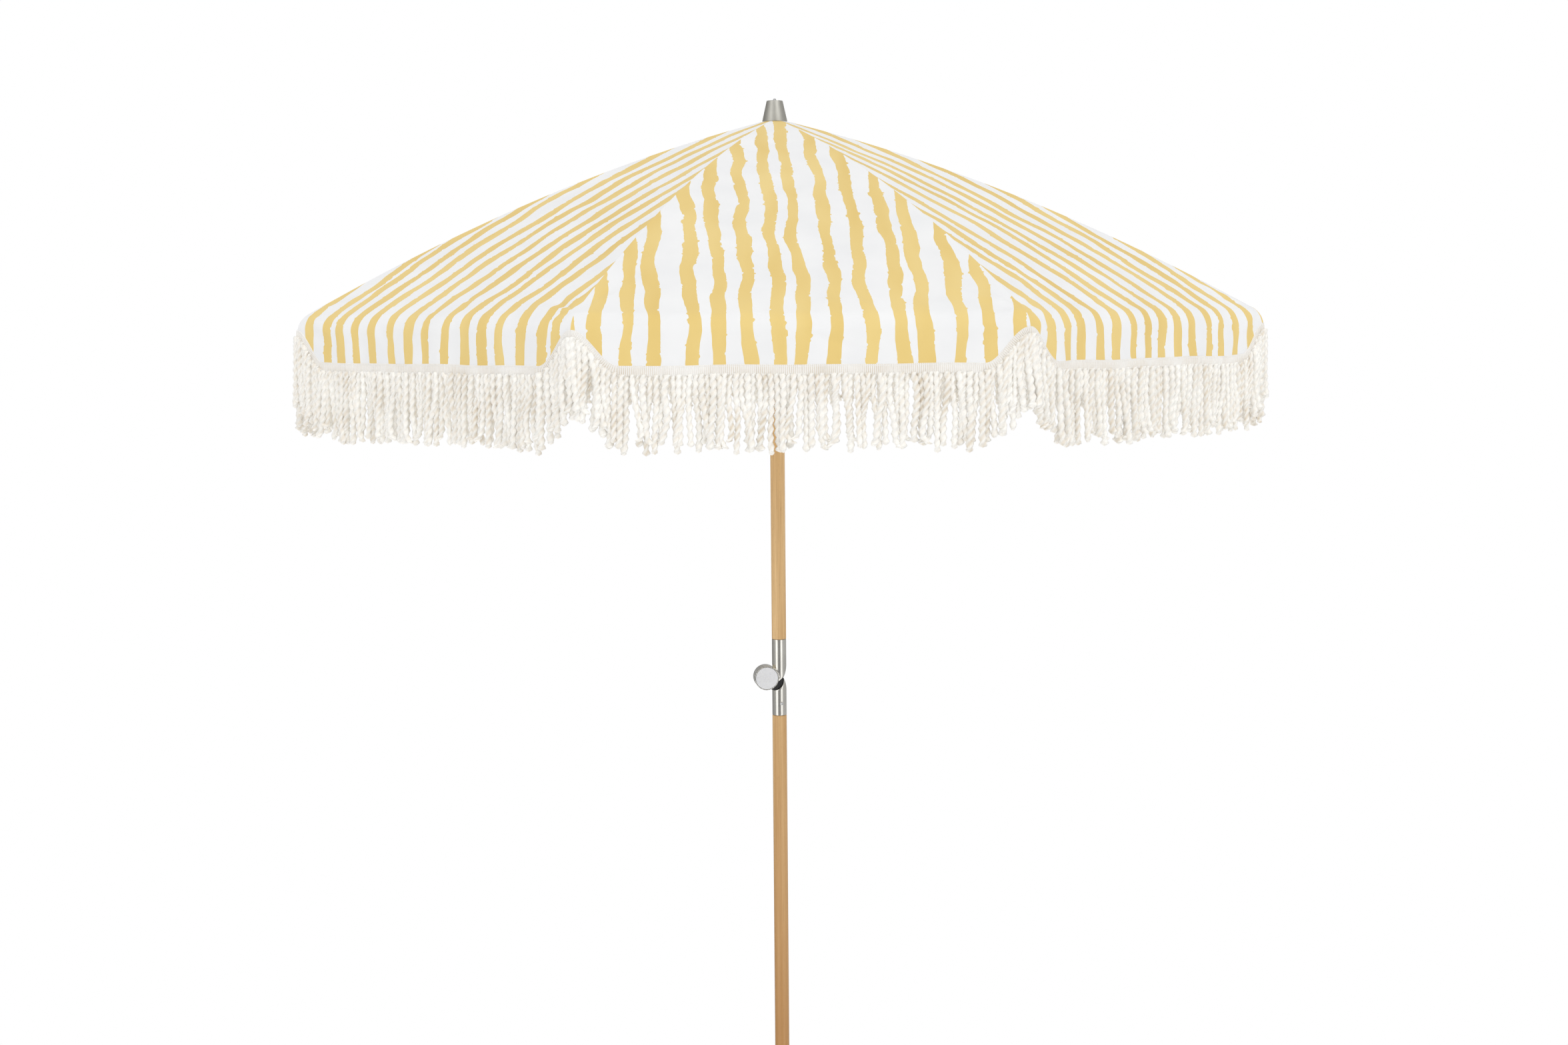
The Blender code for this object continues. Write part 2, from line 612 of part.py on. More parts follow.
def strut(collection):
    """Round bar with a fork over the rib's joint and an eye in the runner's slot, about its pin."""
    fork_length = 0.020
    cheek_r = 0.0055
    made = rod_between("strut", (fork_length - 0.004, 0, 0), (STRUT_LENGTH, 0, 0), STRUT_R, collection, 10)
    fork = box_between("fork", (0, -CHEEK_OUTER, -cheek_r), (fork_length, CHEEK_OUTER, cheek_r), collection)
    combine(made, fork, "UNION")
    round_end = rod_between("end", (0, -CHEEK_OUTER, 0), (0, CHEEK_OUTER, 0), cheek_r, collection, 16)
    combine(made, round_end, "UNION")
    throat = box_between("throat", (-0.02, -CHEEK_INNER, -0.02), (fork_length - 0.008, CHEEK_INNER, 0.02),
                         collection)
    combine(made, throat, "DIFFERENCE")
    pin_hole = rod_between("pin_hole", (0, -0.02, 0), (0, 0.02, 0), JOINT_PIN_R + GAP, collection, 12)
    combine(made, pin_hole, "DIFFERENCE")
    eye = rod_between("eye", (STRUT_LENGTH, -ROD_R, 0), (STRUT_LENGTH, ROD_R, 0), EYE_R, collection, 16)
    combine(made, eye, "UNION")
    hole = rod_between("hole", (STRUT_LENGTH, -0.01, 0), (STRUT_LENGTH, 0.01, 0), EYE_HOLE_R, collection, 8)
    combine(made, hole, "DIFFERENCE")
    made.data.transform(Matrix.Rotation(math.pi - STRUT_FALL, 4, "Y"))
    return made


# ---------------------------------------------------------------- canopy and fringe
def canopy_panel(collection):
    """One panel between two ribs, its middle on +X: a bowed sheet that sags between the ribs."""
    along, across = 10, 4
    bm = bmesh.new()
    bmesh.ops.create_grid(bm, x_segments=along, y_segments=across, size=1)
    for point in bm.verts:
        row, side = round((point.co.x + 1) / 2 * along), point.co.y
        share = (row - 1) / (along - 1)     # row 1 is the edge of the flat middle
        radius = CANOPY_FLAT_R + (CANOPY_R - CANOPY_FLAT_R) * share if row else PANEL_HOLE_R
        half_width = radius * math.sin(HALF_PANEL) - PANEL_SEAM
        sag = PANEL_SAG * math.sin(math.pi * max(0, share)) * (1 - side * side)
        point.co = (radius * math.cos(HALF_PANEL), side * half_width, cloth_z(radius) - sag)
    mesh = bpy.data.meshes.new("canopy_panel")
    bm.to_mesh(mesh)
    bm.free()
    made = new_object("canopy_panel", mesh, collection)
    shell = made.modifiers.new("Cloth", "SOLIDIFY")
    shell.thickness = CLOTH
    shell.offset = -1
    mesh = evaluated_mesh(made)
    made.modifiers.clear()
    made.data = mesh
    return made


def skirt(collection):
    """Valance and fringe round one corner, from mid panel to mid panel, about the rib's tip."""
    apothem = CANOPY_R * math.cos(HALF_PANEL)
    half_side = CANOPY_R * math.sin(HALF_PANEL)
    bm = bmesh.new()
    bmesh.ops.create_grid(bm, x_segments=8, y_segments=1, size=1)
    for point in bm.verts:
        side = point.co.x
        edge = Matrix.Rotation(math.copysign(HALF_PANEL, side), 3, "Z")
        from_middle = max(GAP, half_side * (1 - abs(side)))
        spot = edge @ Vector((apothem, -math.copysign(from_middle, side), 0))
        point.co = (spot.x, spot.y, SKIRT_TOP_Z - (SKIRT_DROP if point.co.y < 0 else 0))
    mesh = bpy.data.meshes.new("skirt")
    bm.to_mesh(mesh)
    bm.free()
    made = new_object("skirt", mesh, collection)
    shell = made.modifiers.new("Cloth", "SOLIDIFY")
    shell.thickness = SKIRT_THICKNESS
    shell.offset = -1
    shell.use_even_offset = True
    mesh = evaluated_mesh(made)
    made.modifiers.clear()
    made.data = mesh
    made.data.transform(Matrix.Translation((-RIB_END_R, 0, -rib_centre(RIB_END_R).z)))
    return made


# ---------------------------------------------------------------- assembly
def build_pole_and_knuckle(collection, paint):
    axis = empty("knuckle_axis", (0, 0, KNUCKLE_Z), collection, turn_z=KNUCKLE_TURN)
    pivot = empty("tilt_pivot", (-KNUCKLE_OFFSET, 0, 0), collection, axis)
    finish(lower_pole(collection), paint["wood"])
    finish(lower_knuckle(collection), paint["satin_metal"], pivot)
    finish(sleeve_screw("lower_sleeve_screw", -1, collection), paint["steel"], pivot)
    finish(pivot_bolt(collection), paint["steel"], pivot)
    finish(pivot_nut(collection), paint["steel"], pivot)
    finish(friction_washer(collection), paint["black_plastic"], pivot)
    finish(tooth_ring(collection), paint["steel"], pivot)
    finish(tilt_button(collection), paint["button"], pivot)
    finish(button_spring(collection), paint["steel"], pivot)
    finish(upper_knuckle(collection), paint["satin_metal"], pivot)
    finish(sleeve_screw("upper_sleeve_screw", 1, collection), paint["steel"], pivot)
    finish(upper_pole(collection), paint["wood"])


def build_crown_and_runner(collection, paint):
    finish(crown_hub(collection), paint["white_plastic"])
    finish(canopy_washer(collection), paint["white_plastic"])
    finish(finial(collection), paint["satin_metal"])
    finish(finial_stud(collection), paint["steel"])
    finish(runner(collection), paint["white_plastic"])
    knob = finish(runner_knob(collection), paint["white_plastic"])
    knob.location = (0, 0, RUNNER_Z - RUNNER_KNOB_DROP)
    for name, height in (("crown_ring", CROWN.z), ("runner_ring", RUNNER_Z)):
        ring = finish(wire_ring(name, collection), paint["steel"])
        ring.location = (0, 0, height)


def build_canopy(collection, paint):
    patterns = {
        "rib": (rib(collection), "fibreglass", CROWN),
        "rib_joint": (rib_joint(collection), "black_plastic", PIN),
        "strut": (strut(collection), "steel", PIN),
        "skirt": (skirt(collection), "fringe_cotton", rib_centre(RIB_END_R)),
    }
    for number in range(RIBS):
        turn = empty(f"rib_{number + 1}_plane", (0, 0, 0), collection, turn_z=rib_turn(number))
        for name, (pattern, slot, place) in patterns.items():
            copy = new_object(f"{name}_{number + 1}", pattern.data, collection)
            finish(copy, paint[slot], turn)
            copy.location = place
    panel = canopy_panel(collection)
    for number in range(RIBS):
        copy = new_object(f"canopy_panel_{number + 1}", panel.data, collection)
        finish(copy, paint["canopy_fabric"])
        copy.rotation_euler = (0, 0, panel_turn(number))
    for pattern in [item[0] for item in patterns.values()] + [panel]:
        bpy.data.objects.remove(pattern)


def main():
    for leftover in list(bpy.data.objects):
        bpy.data.objects.remove(leftover)
    collection = bpy.data.collections.new("beach_umbrella")
    bpy.context.scene.collection.children.link(collection)
    paint = make_materials()
    build_pole_and_knuckle(collection, paint)
    build_crown_and_runner(collection, paint)
    build_canopy(collection, paint)


main()
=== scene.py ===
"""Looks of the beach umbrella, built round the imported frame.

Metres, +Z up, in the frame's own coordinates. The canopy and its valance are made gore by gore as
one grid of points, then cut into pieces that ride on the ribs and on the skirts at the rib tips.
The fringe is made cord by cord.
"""

import json
import math
import random

import bmesh
import bpy
import numpy as np
from mathutils import Matrix, Vector


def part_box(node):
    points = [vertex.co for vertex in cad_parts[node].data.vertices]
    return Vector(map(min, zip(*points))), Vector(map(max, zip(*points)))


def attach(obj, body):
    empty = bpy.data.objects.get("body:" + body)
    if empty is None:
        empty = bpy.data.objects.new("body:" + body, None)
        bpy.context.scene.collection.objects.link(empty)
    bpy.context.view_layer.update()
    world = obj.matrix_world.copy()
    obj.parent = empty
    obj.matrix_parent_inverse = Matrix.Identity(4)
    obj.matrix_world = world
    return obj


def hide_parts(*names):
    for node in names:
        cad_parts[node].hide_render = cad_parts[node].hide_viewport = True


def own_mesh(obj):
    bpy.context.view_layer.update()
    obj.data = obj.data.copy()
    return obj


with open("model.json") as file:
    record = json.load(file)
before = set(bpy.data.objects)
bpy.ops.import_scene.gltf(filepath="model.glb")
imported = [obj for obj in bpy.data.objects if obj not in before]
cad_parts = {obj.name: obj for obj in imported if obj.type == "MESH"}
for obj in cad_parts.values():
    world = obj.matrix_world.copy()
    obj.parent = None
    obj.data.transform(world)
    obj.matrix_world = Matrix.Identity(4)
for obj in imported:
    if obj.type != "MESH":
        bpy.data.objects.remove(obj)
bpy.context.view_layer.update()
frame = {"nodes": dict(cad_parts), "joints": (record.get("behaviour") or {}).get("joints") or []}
NODES = frame["nodes"]
JOINTS = {joint["name"]: joint for joint in frame["joints"]}

# ---------------------------------------------------------------- sizes
RIBS = 8
HALF_GORE = math.pi / RIBS
TAN_HALF = math.tan(HALF_GORE)
CANOPY_SLOPE = 0.258            # fall of the ribs at the pole
CANOPY_BOW = 0.1208             # growth of that fall, per metre
CANOPY_FLAT_R = 0.036
APOTHEM = -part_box("skirt_1")[0].y
CORNER_R = APOTHEM / math.cos(HALF_GORE)
HALF_EDGE = APOTHEM * TAN_HALF
CROWN_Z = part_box("canopy_panel_1")[1].z
PEAK_Z = CROWN_Z + CANOPY_SLOPE * CANOPY_FLAT_R + CANOPY_BOW * CANOPY_FLAT_R ** 2
CLOTH = 0.0008                  # thickness of the fabric
TAPE = 0.0007                   # thickness of the seam tape
GORE_SAG = 0.008
HOLE_R = 0.010

RIM_R = 0.052                   # the fabric bends over the rim with this radius
VALANCE_DROP = 0.099            # corner of the canopy to the top of the braid
CORNER_DROP = 0.024             # the same right at a corner, where the braid rises
CORNER_CURVE = 0.097            # the valance's lower edge rises to a corner over this width
BRAID_HEIGHT = 0.0195
BRAID_THICKNESS = 0.0024
BRAID_PITCH = 0.0043            # one upright ridge of the braid
RIDGE_DEPTH = 0.0014
CORD_PITCH = 0.0125
CORD_LENGTH = 0.163
CORD_R = 0.0040                 # radius of one of a cord's two plies
CORD_LAY = 0.037                # one full turn of the two plies
CORD_START = BRAID_HEIGHT - 0.004   # top of a cord under the braid's upper edge, behind the braid
CORNER_CORD_START = 0.0115      # the same where the braid rises, so that the band stays in view
CORNER_DENSITY = 1.25           # more cords there, as the edge is seen steeply
CORNER_CORD_OUT = 0.0036        # and further out
SEGMENTS = 5                    # pieces of valance between a rib and the middle of a gore

STRIPE_PITCH = 0.0625
STRIPE_HALF = 0.0146

FOLD_TILT = math.radians(-15)   # the pleats lean outwards when the canopy folds
FOLD_KEEP = 0.0986
FOLD_SEAM = 0.012               # half the width of fabric that stays flat on a folded rib

VALANCE_KEEP = 0.35             # width a piece of valance keeps on the folded umbrella
TRIM_KEEP = 0.45                # the same for braid and fringe
FOLD_LIFT = Vector((0, 0, 0.006))   # lift in the shift worked out for folded hanging pieces, so that they would overlap the roof


def rib_azimuth(number):
    """Azimuth of rib 1 to 8; the gore between ribs 1 and 2 faces -Y."""
    return -math.pi / 2 - HALF_GORE + 2 * HALF_GORE * (number - 1)


def radial(azimuth):
    return np.array([math.cos(azimuth), math.sin(azimuth), 0.0])


def across(azimuth):
    return np.array([-math.sin(azimuth), math.cos(azimuth), 0.0])


def cloth_z(radius):
    """Height of the canopy over a rib."""
    r = np.maximum(radius, CANOPY_FLAT_R)
    return PEAK_Z - CANOPY_SLOPE * r - CANOPY_BOW * r * r


RIM_Z = float(cloth_z(CORNER_R))
RIM_SLOPE = math.atan((CANOPY_SLOPE + 2 * CANOPY_BOW * CORNER_R) / math.cos(HALF_GORE))
BEND_START = APOTHEM - RIM_R * (1 - math.sin(RIM_SLOPE))
BEND_START_Z = float(cloth_z(BEND_START / math.cos(HALF_GORE)))
BEND_CENTRE_Z = BEND_START_Z - RIM_R * math.cos(RIM_SLOPE)
BEND_LENGTH = RIM_R * (math.pi / 2 - RIM_SLOPE)


# ---------------------------------------------------------------- materials
class Nodes:
    """Short calls for building one material's node tree."""

    def __init__(self, name, roughness=0.5, metallic=0.0):
        self.material = bpy.data.materials.new(name)
        self.material.use_nodes = True
        self.tree = self.material.node_tree
        self.shader = self.tree.nodes["Principled BSDF"]
        self.fill(self.shader, {"Roughness": roughness, "Metallic": metallic})

    def add(self, kind, **values):
        made = self.tree.nodes.new(kind)
        for key, value in values.items():
            setattr(made, key, value)
        return made

    def put(self, socket, value):
        if isinstance(value, bpy.types.NodeSocket):
            self.tree.links.new(value, socket)
        elif value is not None:
            socket.default_value = value

    def fill(self, made, values):
        for name, value in values.items():
            self.put(made.inputs[name], value)

    def math(self, operation, first, second=None, third=None):
        made = self.add("ShaderNodeMath", operation=operation)
        for socket, value in zip(made.inputs, (first, second, third)):
            self.put(socket, value)
        return made.outputs[0]

    def vector(self, x, y, z):
        made = self.add("ShaderNodeCombineXYZ")
        for socket, value in zip(made.inputs, (x, y, z)):
            self.put(socket, value)
        return made.outputs[0]

    def scaled(self, vector, factors):
        made = self.add("ShaderNodeVectorMath", operation="MULTIPLY")
        self.put(made.inputs[0], vector)
        self.put(made.inputs[1], factors)
        return made.outputs[0]

    def noise(self, vector, scale=1.0, detail=2.0, roughness=0.5, distortion=0.0):
        made = self.add("ShaderNodeTexNoise")
        self.fill(made, {"Vector": vector, "Scale": scale, "Detail": detail,
                         "Roughness": roughness, "Distortion": distortion})
        return made.outputs["Fac"]

    def spread(self, value, low, high, to_low=0.0, to_high=1.0):
        """Maps low..high to to_low..to_high, clamped."""
        made = self.add("ShaderNodeMapRange")
        for socket, number in zip(made.inputs[:5], (value, low, high, to_low, to_high)):
            self.put(socket, number)
        return made.outputs[0]

    def mix(self, factor, first, second):
        made = self.add("ShaderNodeMix", data_type="RGBA")
        self.put(made.inputs["Factor"], factor)
        for socket, value in ((made.inputs[6], first), (made.inputs[7], second)):
            self.put(socket, (*value, 1) if isinstance(value, tuple) else value)
        return made.outputs[2]

    def place(self):
        return self.add("ShaderNodeTexCoord").outputs["Object"]

    def colour(self, value):
        self.put(self.shader.inputs["Base Color"], (*value, 1) if isinstance(value, tuple) else value)

    def roughness(self, value):
        self.put(self.shader.inputs["Roughness"], value)

    def bump(self, height, distance, strength=1.0):
        made = self.add("ShaderNodeBump")
        self.fill(made, {"Height": height, "Distance": distance, "Strength": strength})
        self.put(self.shader.inputs["Normal"], made.outputs[0])


def fabric_material(name, paleness):
    """White woven cloth with hand-drawn yellow stripes, parallel to each gore's middle line.

    The attribute holds metres across and down the cloth and a seed for each gore. The stripes are
    two interleaved sets, each in cells of twice the pitch, so that a stripe may stray from its place.
    paleness mixes the stripes towards plain white, for the cloth's inner side and for tapes.
    """
    n = Nodes(name, roughness=0.82)
    attribute = n.add("ShaderNodeAttribute", attribute_name="cloth")
    parts = n.add("ShaderNodeSeparateXYZ")
    n.put(parts.inputs[0], attribute.outputs["Vector"])
    x, y, seed = parts.outputs
    edges = []
    for half in (0.0, 0.5):
        shifted = n.math("MULTIPLY_ADD", seed, 0.37, half)
        stripe = n.math("ADD", n.math("DIVIDE", x, 2 * STRIPE_PITCH), shifted)
        number = n.math("FLOOR", stripe)
        key = n.math("MULTIPLY_ADD", number, 3.71, n.math("MULTIPLY_ADD", seed, 17.3, 59.7 * half))
        from_middle = n.math("SUBTRACT", n.math("SUBTRACT", stripe, number), 0.5)
        place = n.noise(n.vector(n.math("MULTIPLY", key, 1.93), seed, 21.0), detail=0.0)
        place = n.math("MULTIPLY", n.math("SUBTRACT", place, 0.5), 0.080)
        wander = n.noise(n.vector(key, n.math("MULTIPLY", y, 4.2), 0.0), detail=1.0)
        place = n.math("MULTIPLY_ADD", n.math("SUBTRACT", wander, 0.5), 0.046, place)
        slanted = n.vector(n.math("MULTIPLY", x, 1.5), n.math("MULTIPLY", y, 9.0), seed)
        drift = n.noise(slanted, detail=1.0)
        place = n.math("MULTIPLY_ADD", n.math("SUBTRACT", drift, 0.5), 0.012, place)
        offset = n.math("SUBTRACT", n.math("MULTIPLY", from_middle, 2 * STRIPE_PITCH), place)
        side = n.math("MULTIPLY_ADD", n.math("SIGN", offset), 5.3, key)
        width = n.noise(n.vector(n.math("ADD", key, 40.0), n.math("MULTIPLY", y, 5.0), 3.0), detail=1.0)
        width = n.math("MULTIPLY_ADD", n.math("SUBTRACT", width, 0.5), 0.016, STRIPE_HALF)
        waves = n.noise(n.vector(side, n.math("MULTIPLY", y, 16.0), 9.0), detail=2.0)
        width = n.math("MULTIPLY_ADD", n.math("SUBTRACT", waves, 0.5), 0.011, width)
        torn = n.noise(n.vector(side, n.math("MULTIPLY", y, 38.0), 5.0), detail=2.5, roughness=0.6)
        width = n.math("SUBTRACT", width, n.spread(torn, 0.60, 0.68, 0.0, 0.0036))
        width = n.math("ADD", width, n.spread(torn, 0.40, 0.30, 0.0, 0.0045))
        edges.append(n.math("SUBTRACT", width, n.math("ABSOLUTE", offset)))
    edge = n.math("MAXIMUM", *edges)        # metres inside the nearest stripe's edge
    mask = n.spread(edge, -0.0003, 0.0003)

    tone = n.noise(n.vector(n.math("MULTIPLY", x, 9.0), n.math("MULTIPLY", y, 3.0), seed), detail=2.0)
    yellow = n.mix(n.spread(tone, 0.3, 0.7), (0.735, 0.530, 0.170), (0.800, 0.610, 0.236))
    blotch = n.noise(n.scaled(attribute.outputs["Vector"], (7.0, 7.0, 1.0)), detail=3.0)
    white = n.mix(n.spread(blotch, 0.3, 0.7), (0.795, 0.800, 0.808), (0.845, 0.847, 0.850))
    colour = n.mix(mask, white, yellow)
    if paleness:
        colour = n.mix(paleness, colour, (0.83, 0.825, 0.81))
    n.colour(colour)
    weave = n.noise(n.scaled(attribute.outputs["Vector"], (900.0, 260.0, 1.0)), detail=1.0)
    woof = n.noise(n.scaled(attribute.outputs["Vector"], (260.0, 900.0, 1.0)), detail=1.0)
    n.bump(n.math("ADD", weave, woof), 0.0003, 0.35)
    n.roughness(n.spread(weave, 0.3, 0.7, 0.76, 0.88))
    n.fill(n.shader, {"Sheen Weight": 0.10})
    return n.material


def cotton_material(name, pale_low, pale_high, glow):
    """Off-white twisted cotton with beige painted shade in its hollows, and glow, an emission that paints
    light onto it.
    """
    n = Nodes(name, roughness=0.95)
    attribute = n.add("ShaderNodeAttribute", attribute_name="hollow_shade")
    fibre = n.noise(n.scaled(n.place(), (420.0, 420.0, 150.0)), detail=3.0)
    # patches where the painted shade in the hollows is stronger or weaker
    shade_patches = n.noise(n.place(), scale=14.0, detail=2.0)
    pale = n.mix(n.spread(fibre, 0.3, 0.7), pale_low, pale_high)
    # painted shade: the hollows between plies and ridges turn beige
    shade = n.math("MULTIPLY", attribute.outputs["Fac"], n.spread(shade_patches, 0.35, 0.65, 0.15, 1.0))
    n.colour(n.mix(shade, pale, (0.60, 0.50, 0.36)))
    n.bump(fibre, 0.0006, 0.6)
    # glow is painted light: an emission that brightens the cotton (0.10 on the fringe, none on the braid)
    n.fill(n.shader, {"Sheen Weight": 0.25, "Emission Color": (1.0, 0.97, 0.91, 1),
                      "Emission Strength": glow})
    return n.material


def wood_material(name):
    """Clear-coated straight-grained beech or eucalyptus pole."""
    n = Nodes(name, roughness=0.42)
    place = n.place()
    broad = n.noise(n.scaled(place, (55.0, 55.0, 1.6)), detail=3.0, distortion=0.4)
    fine = n.noise(n.scaled(place, (620.0, 620.0, 7.0)), detail=3.0, roughness=0.6)
    dashes = n.noise(n.scaled(place, (900.0, 900.0, 60.0)), detail=1.0)
    base = n.mix(n.spread(broad, 0.32, 0.68), (0.655, 0.400, 0.158), (0.83, 0.570, 0.280))
    lined = n.mix(n.spread(fine, 0.40, 0.72, 0.0, 0.45), base, (0.44, 0.225, 0.080))
    flecked = n.mix(n.spread(dashes, 0.66, 0.76, 0.0, 0.40), lined, (0.33, 0.165, 0.060))
    height = n.add("ShaderNodeSeparateXYZ")
    n.put(height.inputs[0], place)
    low = n.spread(height.outputs["Z"], 0.1, 1.25, 0.80, 0.0)   # the pole is darker lower down
    n.colour(n.mix(low, flecked, (0.39, 0.175, 0.040)))
    n.roughness(n.spread(fine, 0.3, 0.7, 0.34, 0.50))
    n.bump(fine, 0.0004, 0.35)
    n.fill(n.shader, {"Coat Weight": 0.25, "Coat Roughness": 0.25})
    return n.material


def metal_material(name, colour, roughness, brushing):
    """Satin metal whose fine brushing runs round (large Z factor) or is even."""
    n = Nodes(name, roughness=roughness, metallic=1.0)
    brushed = n.noise(n.scaled(n.place(), brushing), detail=3.0, roughness=0.6)
    cloud = n.noise(n.place(), scale=26.0, detail=3.0)
    darker = tuple(part * 0.86 for part in colour)
    n.colour(n.mix(n.spread(cloud, 0.3, 0.7), darker, colour))
    n.roughness(n.spread(brushed, 0.3, 0.7, roughness - 0.04, roughness + 0.06))
    n.bump(brushed, 0.00005, 0.15)
    return n.material


def plastic_material(name, dark, light, roughness, grain):
    """Moulded plastic with a fine even grain."""
    n = Nodes(name, roughness=roughness)
    grainy = n.noise(n.place(), scale=grain, detail=2.0)
    cloud = n.noise(n.place(), scale=18.0, detail=2.0)
    n.colour(n.mix(n.spread(cloud, 0.3, 0.7), dark, light))
    n.roughness(n.spread(grainy, 0.3, 0.7, roughness - 0.07, roughness + 0.07))
    n.bump(grainy, 0.0002, 0.3)
    return n.material


def fibreglass_material(name):
    """Pale resin rod with fibres along it."""
    n = Nodes(name, roughness=0.36)
    streak = n.noise(n.scaled(n.place(), (700.0, 700.0, 700.0)), detail=3.0, roughness=0.7)
    cloud = n.noise(n.place(), scale=30.0, detail=2.0)
    base = n.mix(n.spread(cloud, 0.3, 0.7), (0.66, 0.65, 0.60), (0.80, 0.79, 0.75))
    n.colour(n.mix(n.spread(streak, 0.55, 0.75, 0.0, 0.35), base, (0.50, 0.49, 0.45)))
    n.roughness(n.spread(streak, 0.3, 0.7, 0.28, 0.46))
    n.bump(streak, 0.0002, 0.25)
    return n.material


def floor_material():
    """White paper that lights the canopy from below, and that the camera sees as plain white."""
    n = Nodes("floor", roughness=0.95)
    n.colour((0.90, 0.90, 0.90))
    glow, sight = n.add("ShaderNodeEmission"), n.add("ShaderNodeMixShader")
    n.fill(n.shader, {"Emission Color": (1, 1, 1, 1), "Emission Strength": 0.14})
    n.put(sight.inputs[0], n.add("ShaderNodeLightPath").outputs["Is Camera Ray"])
    n.put(sight.inputs[1], n.shader.outputs[0])
    n.put(sight.inputs[2], glow.outputs[0])
    n.put(n.tree.nodes["Material Output"].inputs["Surface"], sight.outputs[0])
    return n.material


PAINT = {name: make(name, *values) for name, make, *values in (
    ("canopy_fabric", fabric_material, 0.0),
    ("canopy_fabric_inside", fabric_material, 0.38),
    ("seam_cloth", fabric_material, 0.999),
    # the fringe's last number, 0.10, is its painted glow
    ("fringe_cotton", cotton_material, (0.885, 0.866, 0.820), (0.945, 0.935, 0.903), 0.10),
    ("braid_cotton", cotton_material, (0.83, 0.810, 0.775), (0.885, 0.872, 0.845), 0.0),
    ("wood", wood_material),
    ("satin_metal", metal_material, (0.72, 0.70, 0.65), 0.20, (60.0, 60.0, 900.0)),
    ("brushed_metal", metal_material, (0.53, 0.52, 0.475), 0.47, (60.0, 60.0, 1400.0)),
    ("steel", metal_material, (0.56, 0.56, 0.56), 0.30, (300.0, 300.0, 300.0)),
    ("button", plastic_material, (0.74, 0.75, 0.78), (0.80, 0.81, 0.84), 0.38, 900.0),
    ("black_plastic", plastic_material, (0.012, 0.012, 0.013), (0.022, 0.022, 0.023), 0.55, 700.0),
    ("white_plastic", plastic_material, (0.74, 0.73, 0.69), (0.84, 0.83, 0.79), 0.42, 600.0),
    ("fibreglass", fibreglass_material),
)}


# ---------------------------------------------------------------- mesh helpers
def mesh_object(name, points, faces, paints, face_paint=None):
    """An object from an array of points and a list of equal-sided face index arrays."""
    mesh = bpy.data.meshes.new(name)
    mesh.vertices.add(len(points))
    mesh.vertices.foreach_set("co", np.asarray(points, np.float32).ravel())
    sides = np.concatenate([np.full(len(part), part.shape[1]) for part in faces])
    loops = np.concatenate([part.ravel() for part in faces])
    mesh.loops.add(len(loops))
    mesh.loops.foreach_set("vertex_index", loops.astype(np.int32))
    mesh.polygons.add(len(sides))
    mesh.polygons.foreach_set("loop_start", (np.cumsum(sides) - sides).astype(np.int32))
    mesh.polygons.foreach_set("use_smooth", np.full(len(sides), True))
    for paint in paints:
        mesh.materials.append(PAINT[paint])
    if face_paint is not None:
        mesh.polygons.foreach_set("material_index", face_paint.astype(np.int32))
    mesh.update(calc_edges=True)
    mesh.validate()
    made = bpy.data.objects.new(name, mesh)
    bpy.context.scene.collection.objects.link(made)
    return made


def add_attribute(made, name, kind, values):
    attribute = made.data.attributes.new(name, kind, "POINT")
    field = "vector" if kind == "FLOAT_VECTOR" else "value"
    attribute.data.foreach_set(field, np.asarray(values, np.float32).ravel())


def grid_faces(rows, columns, first=0, flip=False):
    """Quads of a rows x columns grid of points."""
    index = first + np.arange(rows * columns).reshape(rows, columns)
    quads = np.stack([index[:-1, :-1], index[1:, :-1], index[1:, 1:], index[:-1, 1:]], -1).reshape(-1, 4)
    return quads[:, ::-1] if flip else quads


def cloth_sheet(name, points, normals, coordinates, thickness, paints):
    """A closed sheet of fabric: the grid of points is its outer side, and it lies under them."""
    rows, columns = points.shape[:2]
    count = rows * columns
    outer = points.reshape(-1, 3)
    inner = (points - normals * thickness).reshape(-1, 3)
    index = np.arange(count).reshape(rows, columns)
    ring = np.concatenate([index[0, :-1], index[:-1, -1], index[-1, :0:-1], index[:0:-1, 0]])
    after = np.roll(ring, -1)
    rim = np.stack([ring, after, after + count, ring + count], -1)
    front = grid_faces(rows, columns)
    back = grid_faces(rows, columns, count, flip=True)
    corner = outer[front[:, 0]]
    facing = np.cross(outer[front[:, 1]] - corner, outer[front[:, 3]] - corner)
    if (facing * normals.reshape(-1, 3)[front[:, 0]]).sum() <= 0:
        front, back = front[:, ::-1], back[:, ::-1]
    else:
        rim = rim[:, ::-1]
    face_paint = np.concatenate([np.zeros(len(front)), np.ones(len(back)), np.zeros(len(rim))])
    made = mesh_object(name, np.concatenate([outer, inner]), [front, back, rim], paints, face_paint)
    flat = normals.reshape(-1, 3)
    corner_normals = np.concatenate([flat[front].reshape(-1, 3), -flat[back - count].reshape(-1, 3),
                                     np.zeros((rim.size, 3))])
    made.data.polygons.foreach_set("use_smooth", np.arange(len(face_paint)) < 2 * len(front))
    made.data.normals_split_custom_set(corner_normals.tolist())
    add_attribute(made, "cloth", "FLOAT_VECTOR", np.concatenate([coordinates.reshape(-1, 3)] * 2))
    return made


def grid_normals(points, outwards):
    """Unit normals of a grid of points, on the side that outwards points to."""
    down = np.gradient(points, axis=0)
    side = np.gradient(points, axis=1)
    normals = np.cross(down, side)
    normals /= np.maximum(np.linalg.norm(normals, axis=2, keepdims=True), 1e-12)
    if (normals * outwards).sum() < 0:
        normals = -normals
    return normals


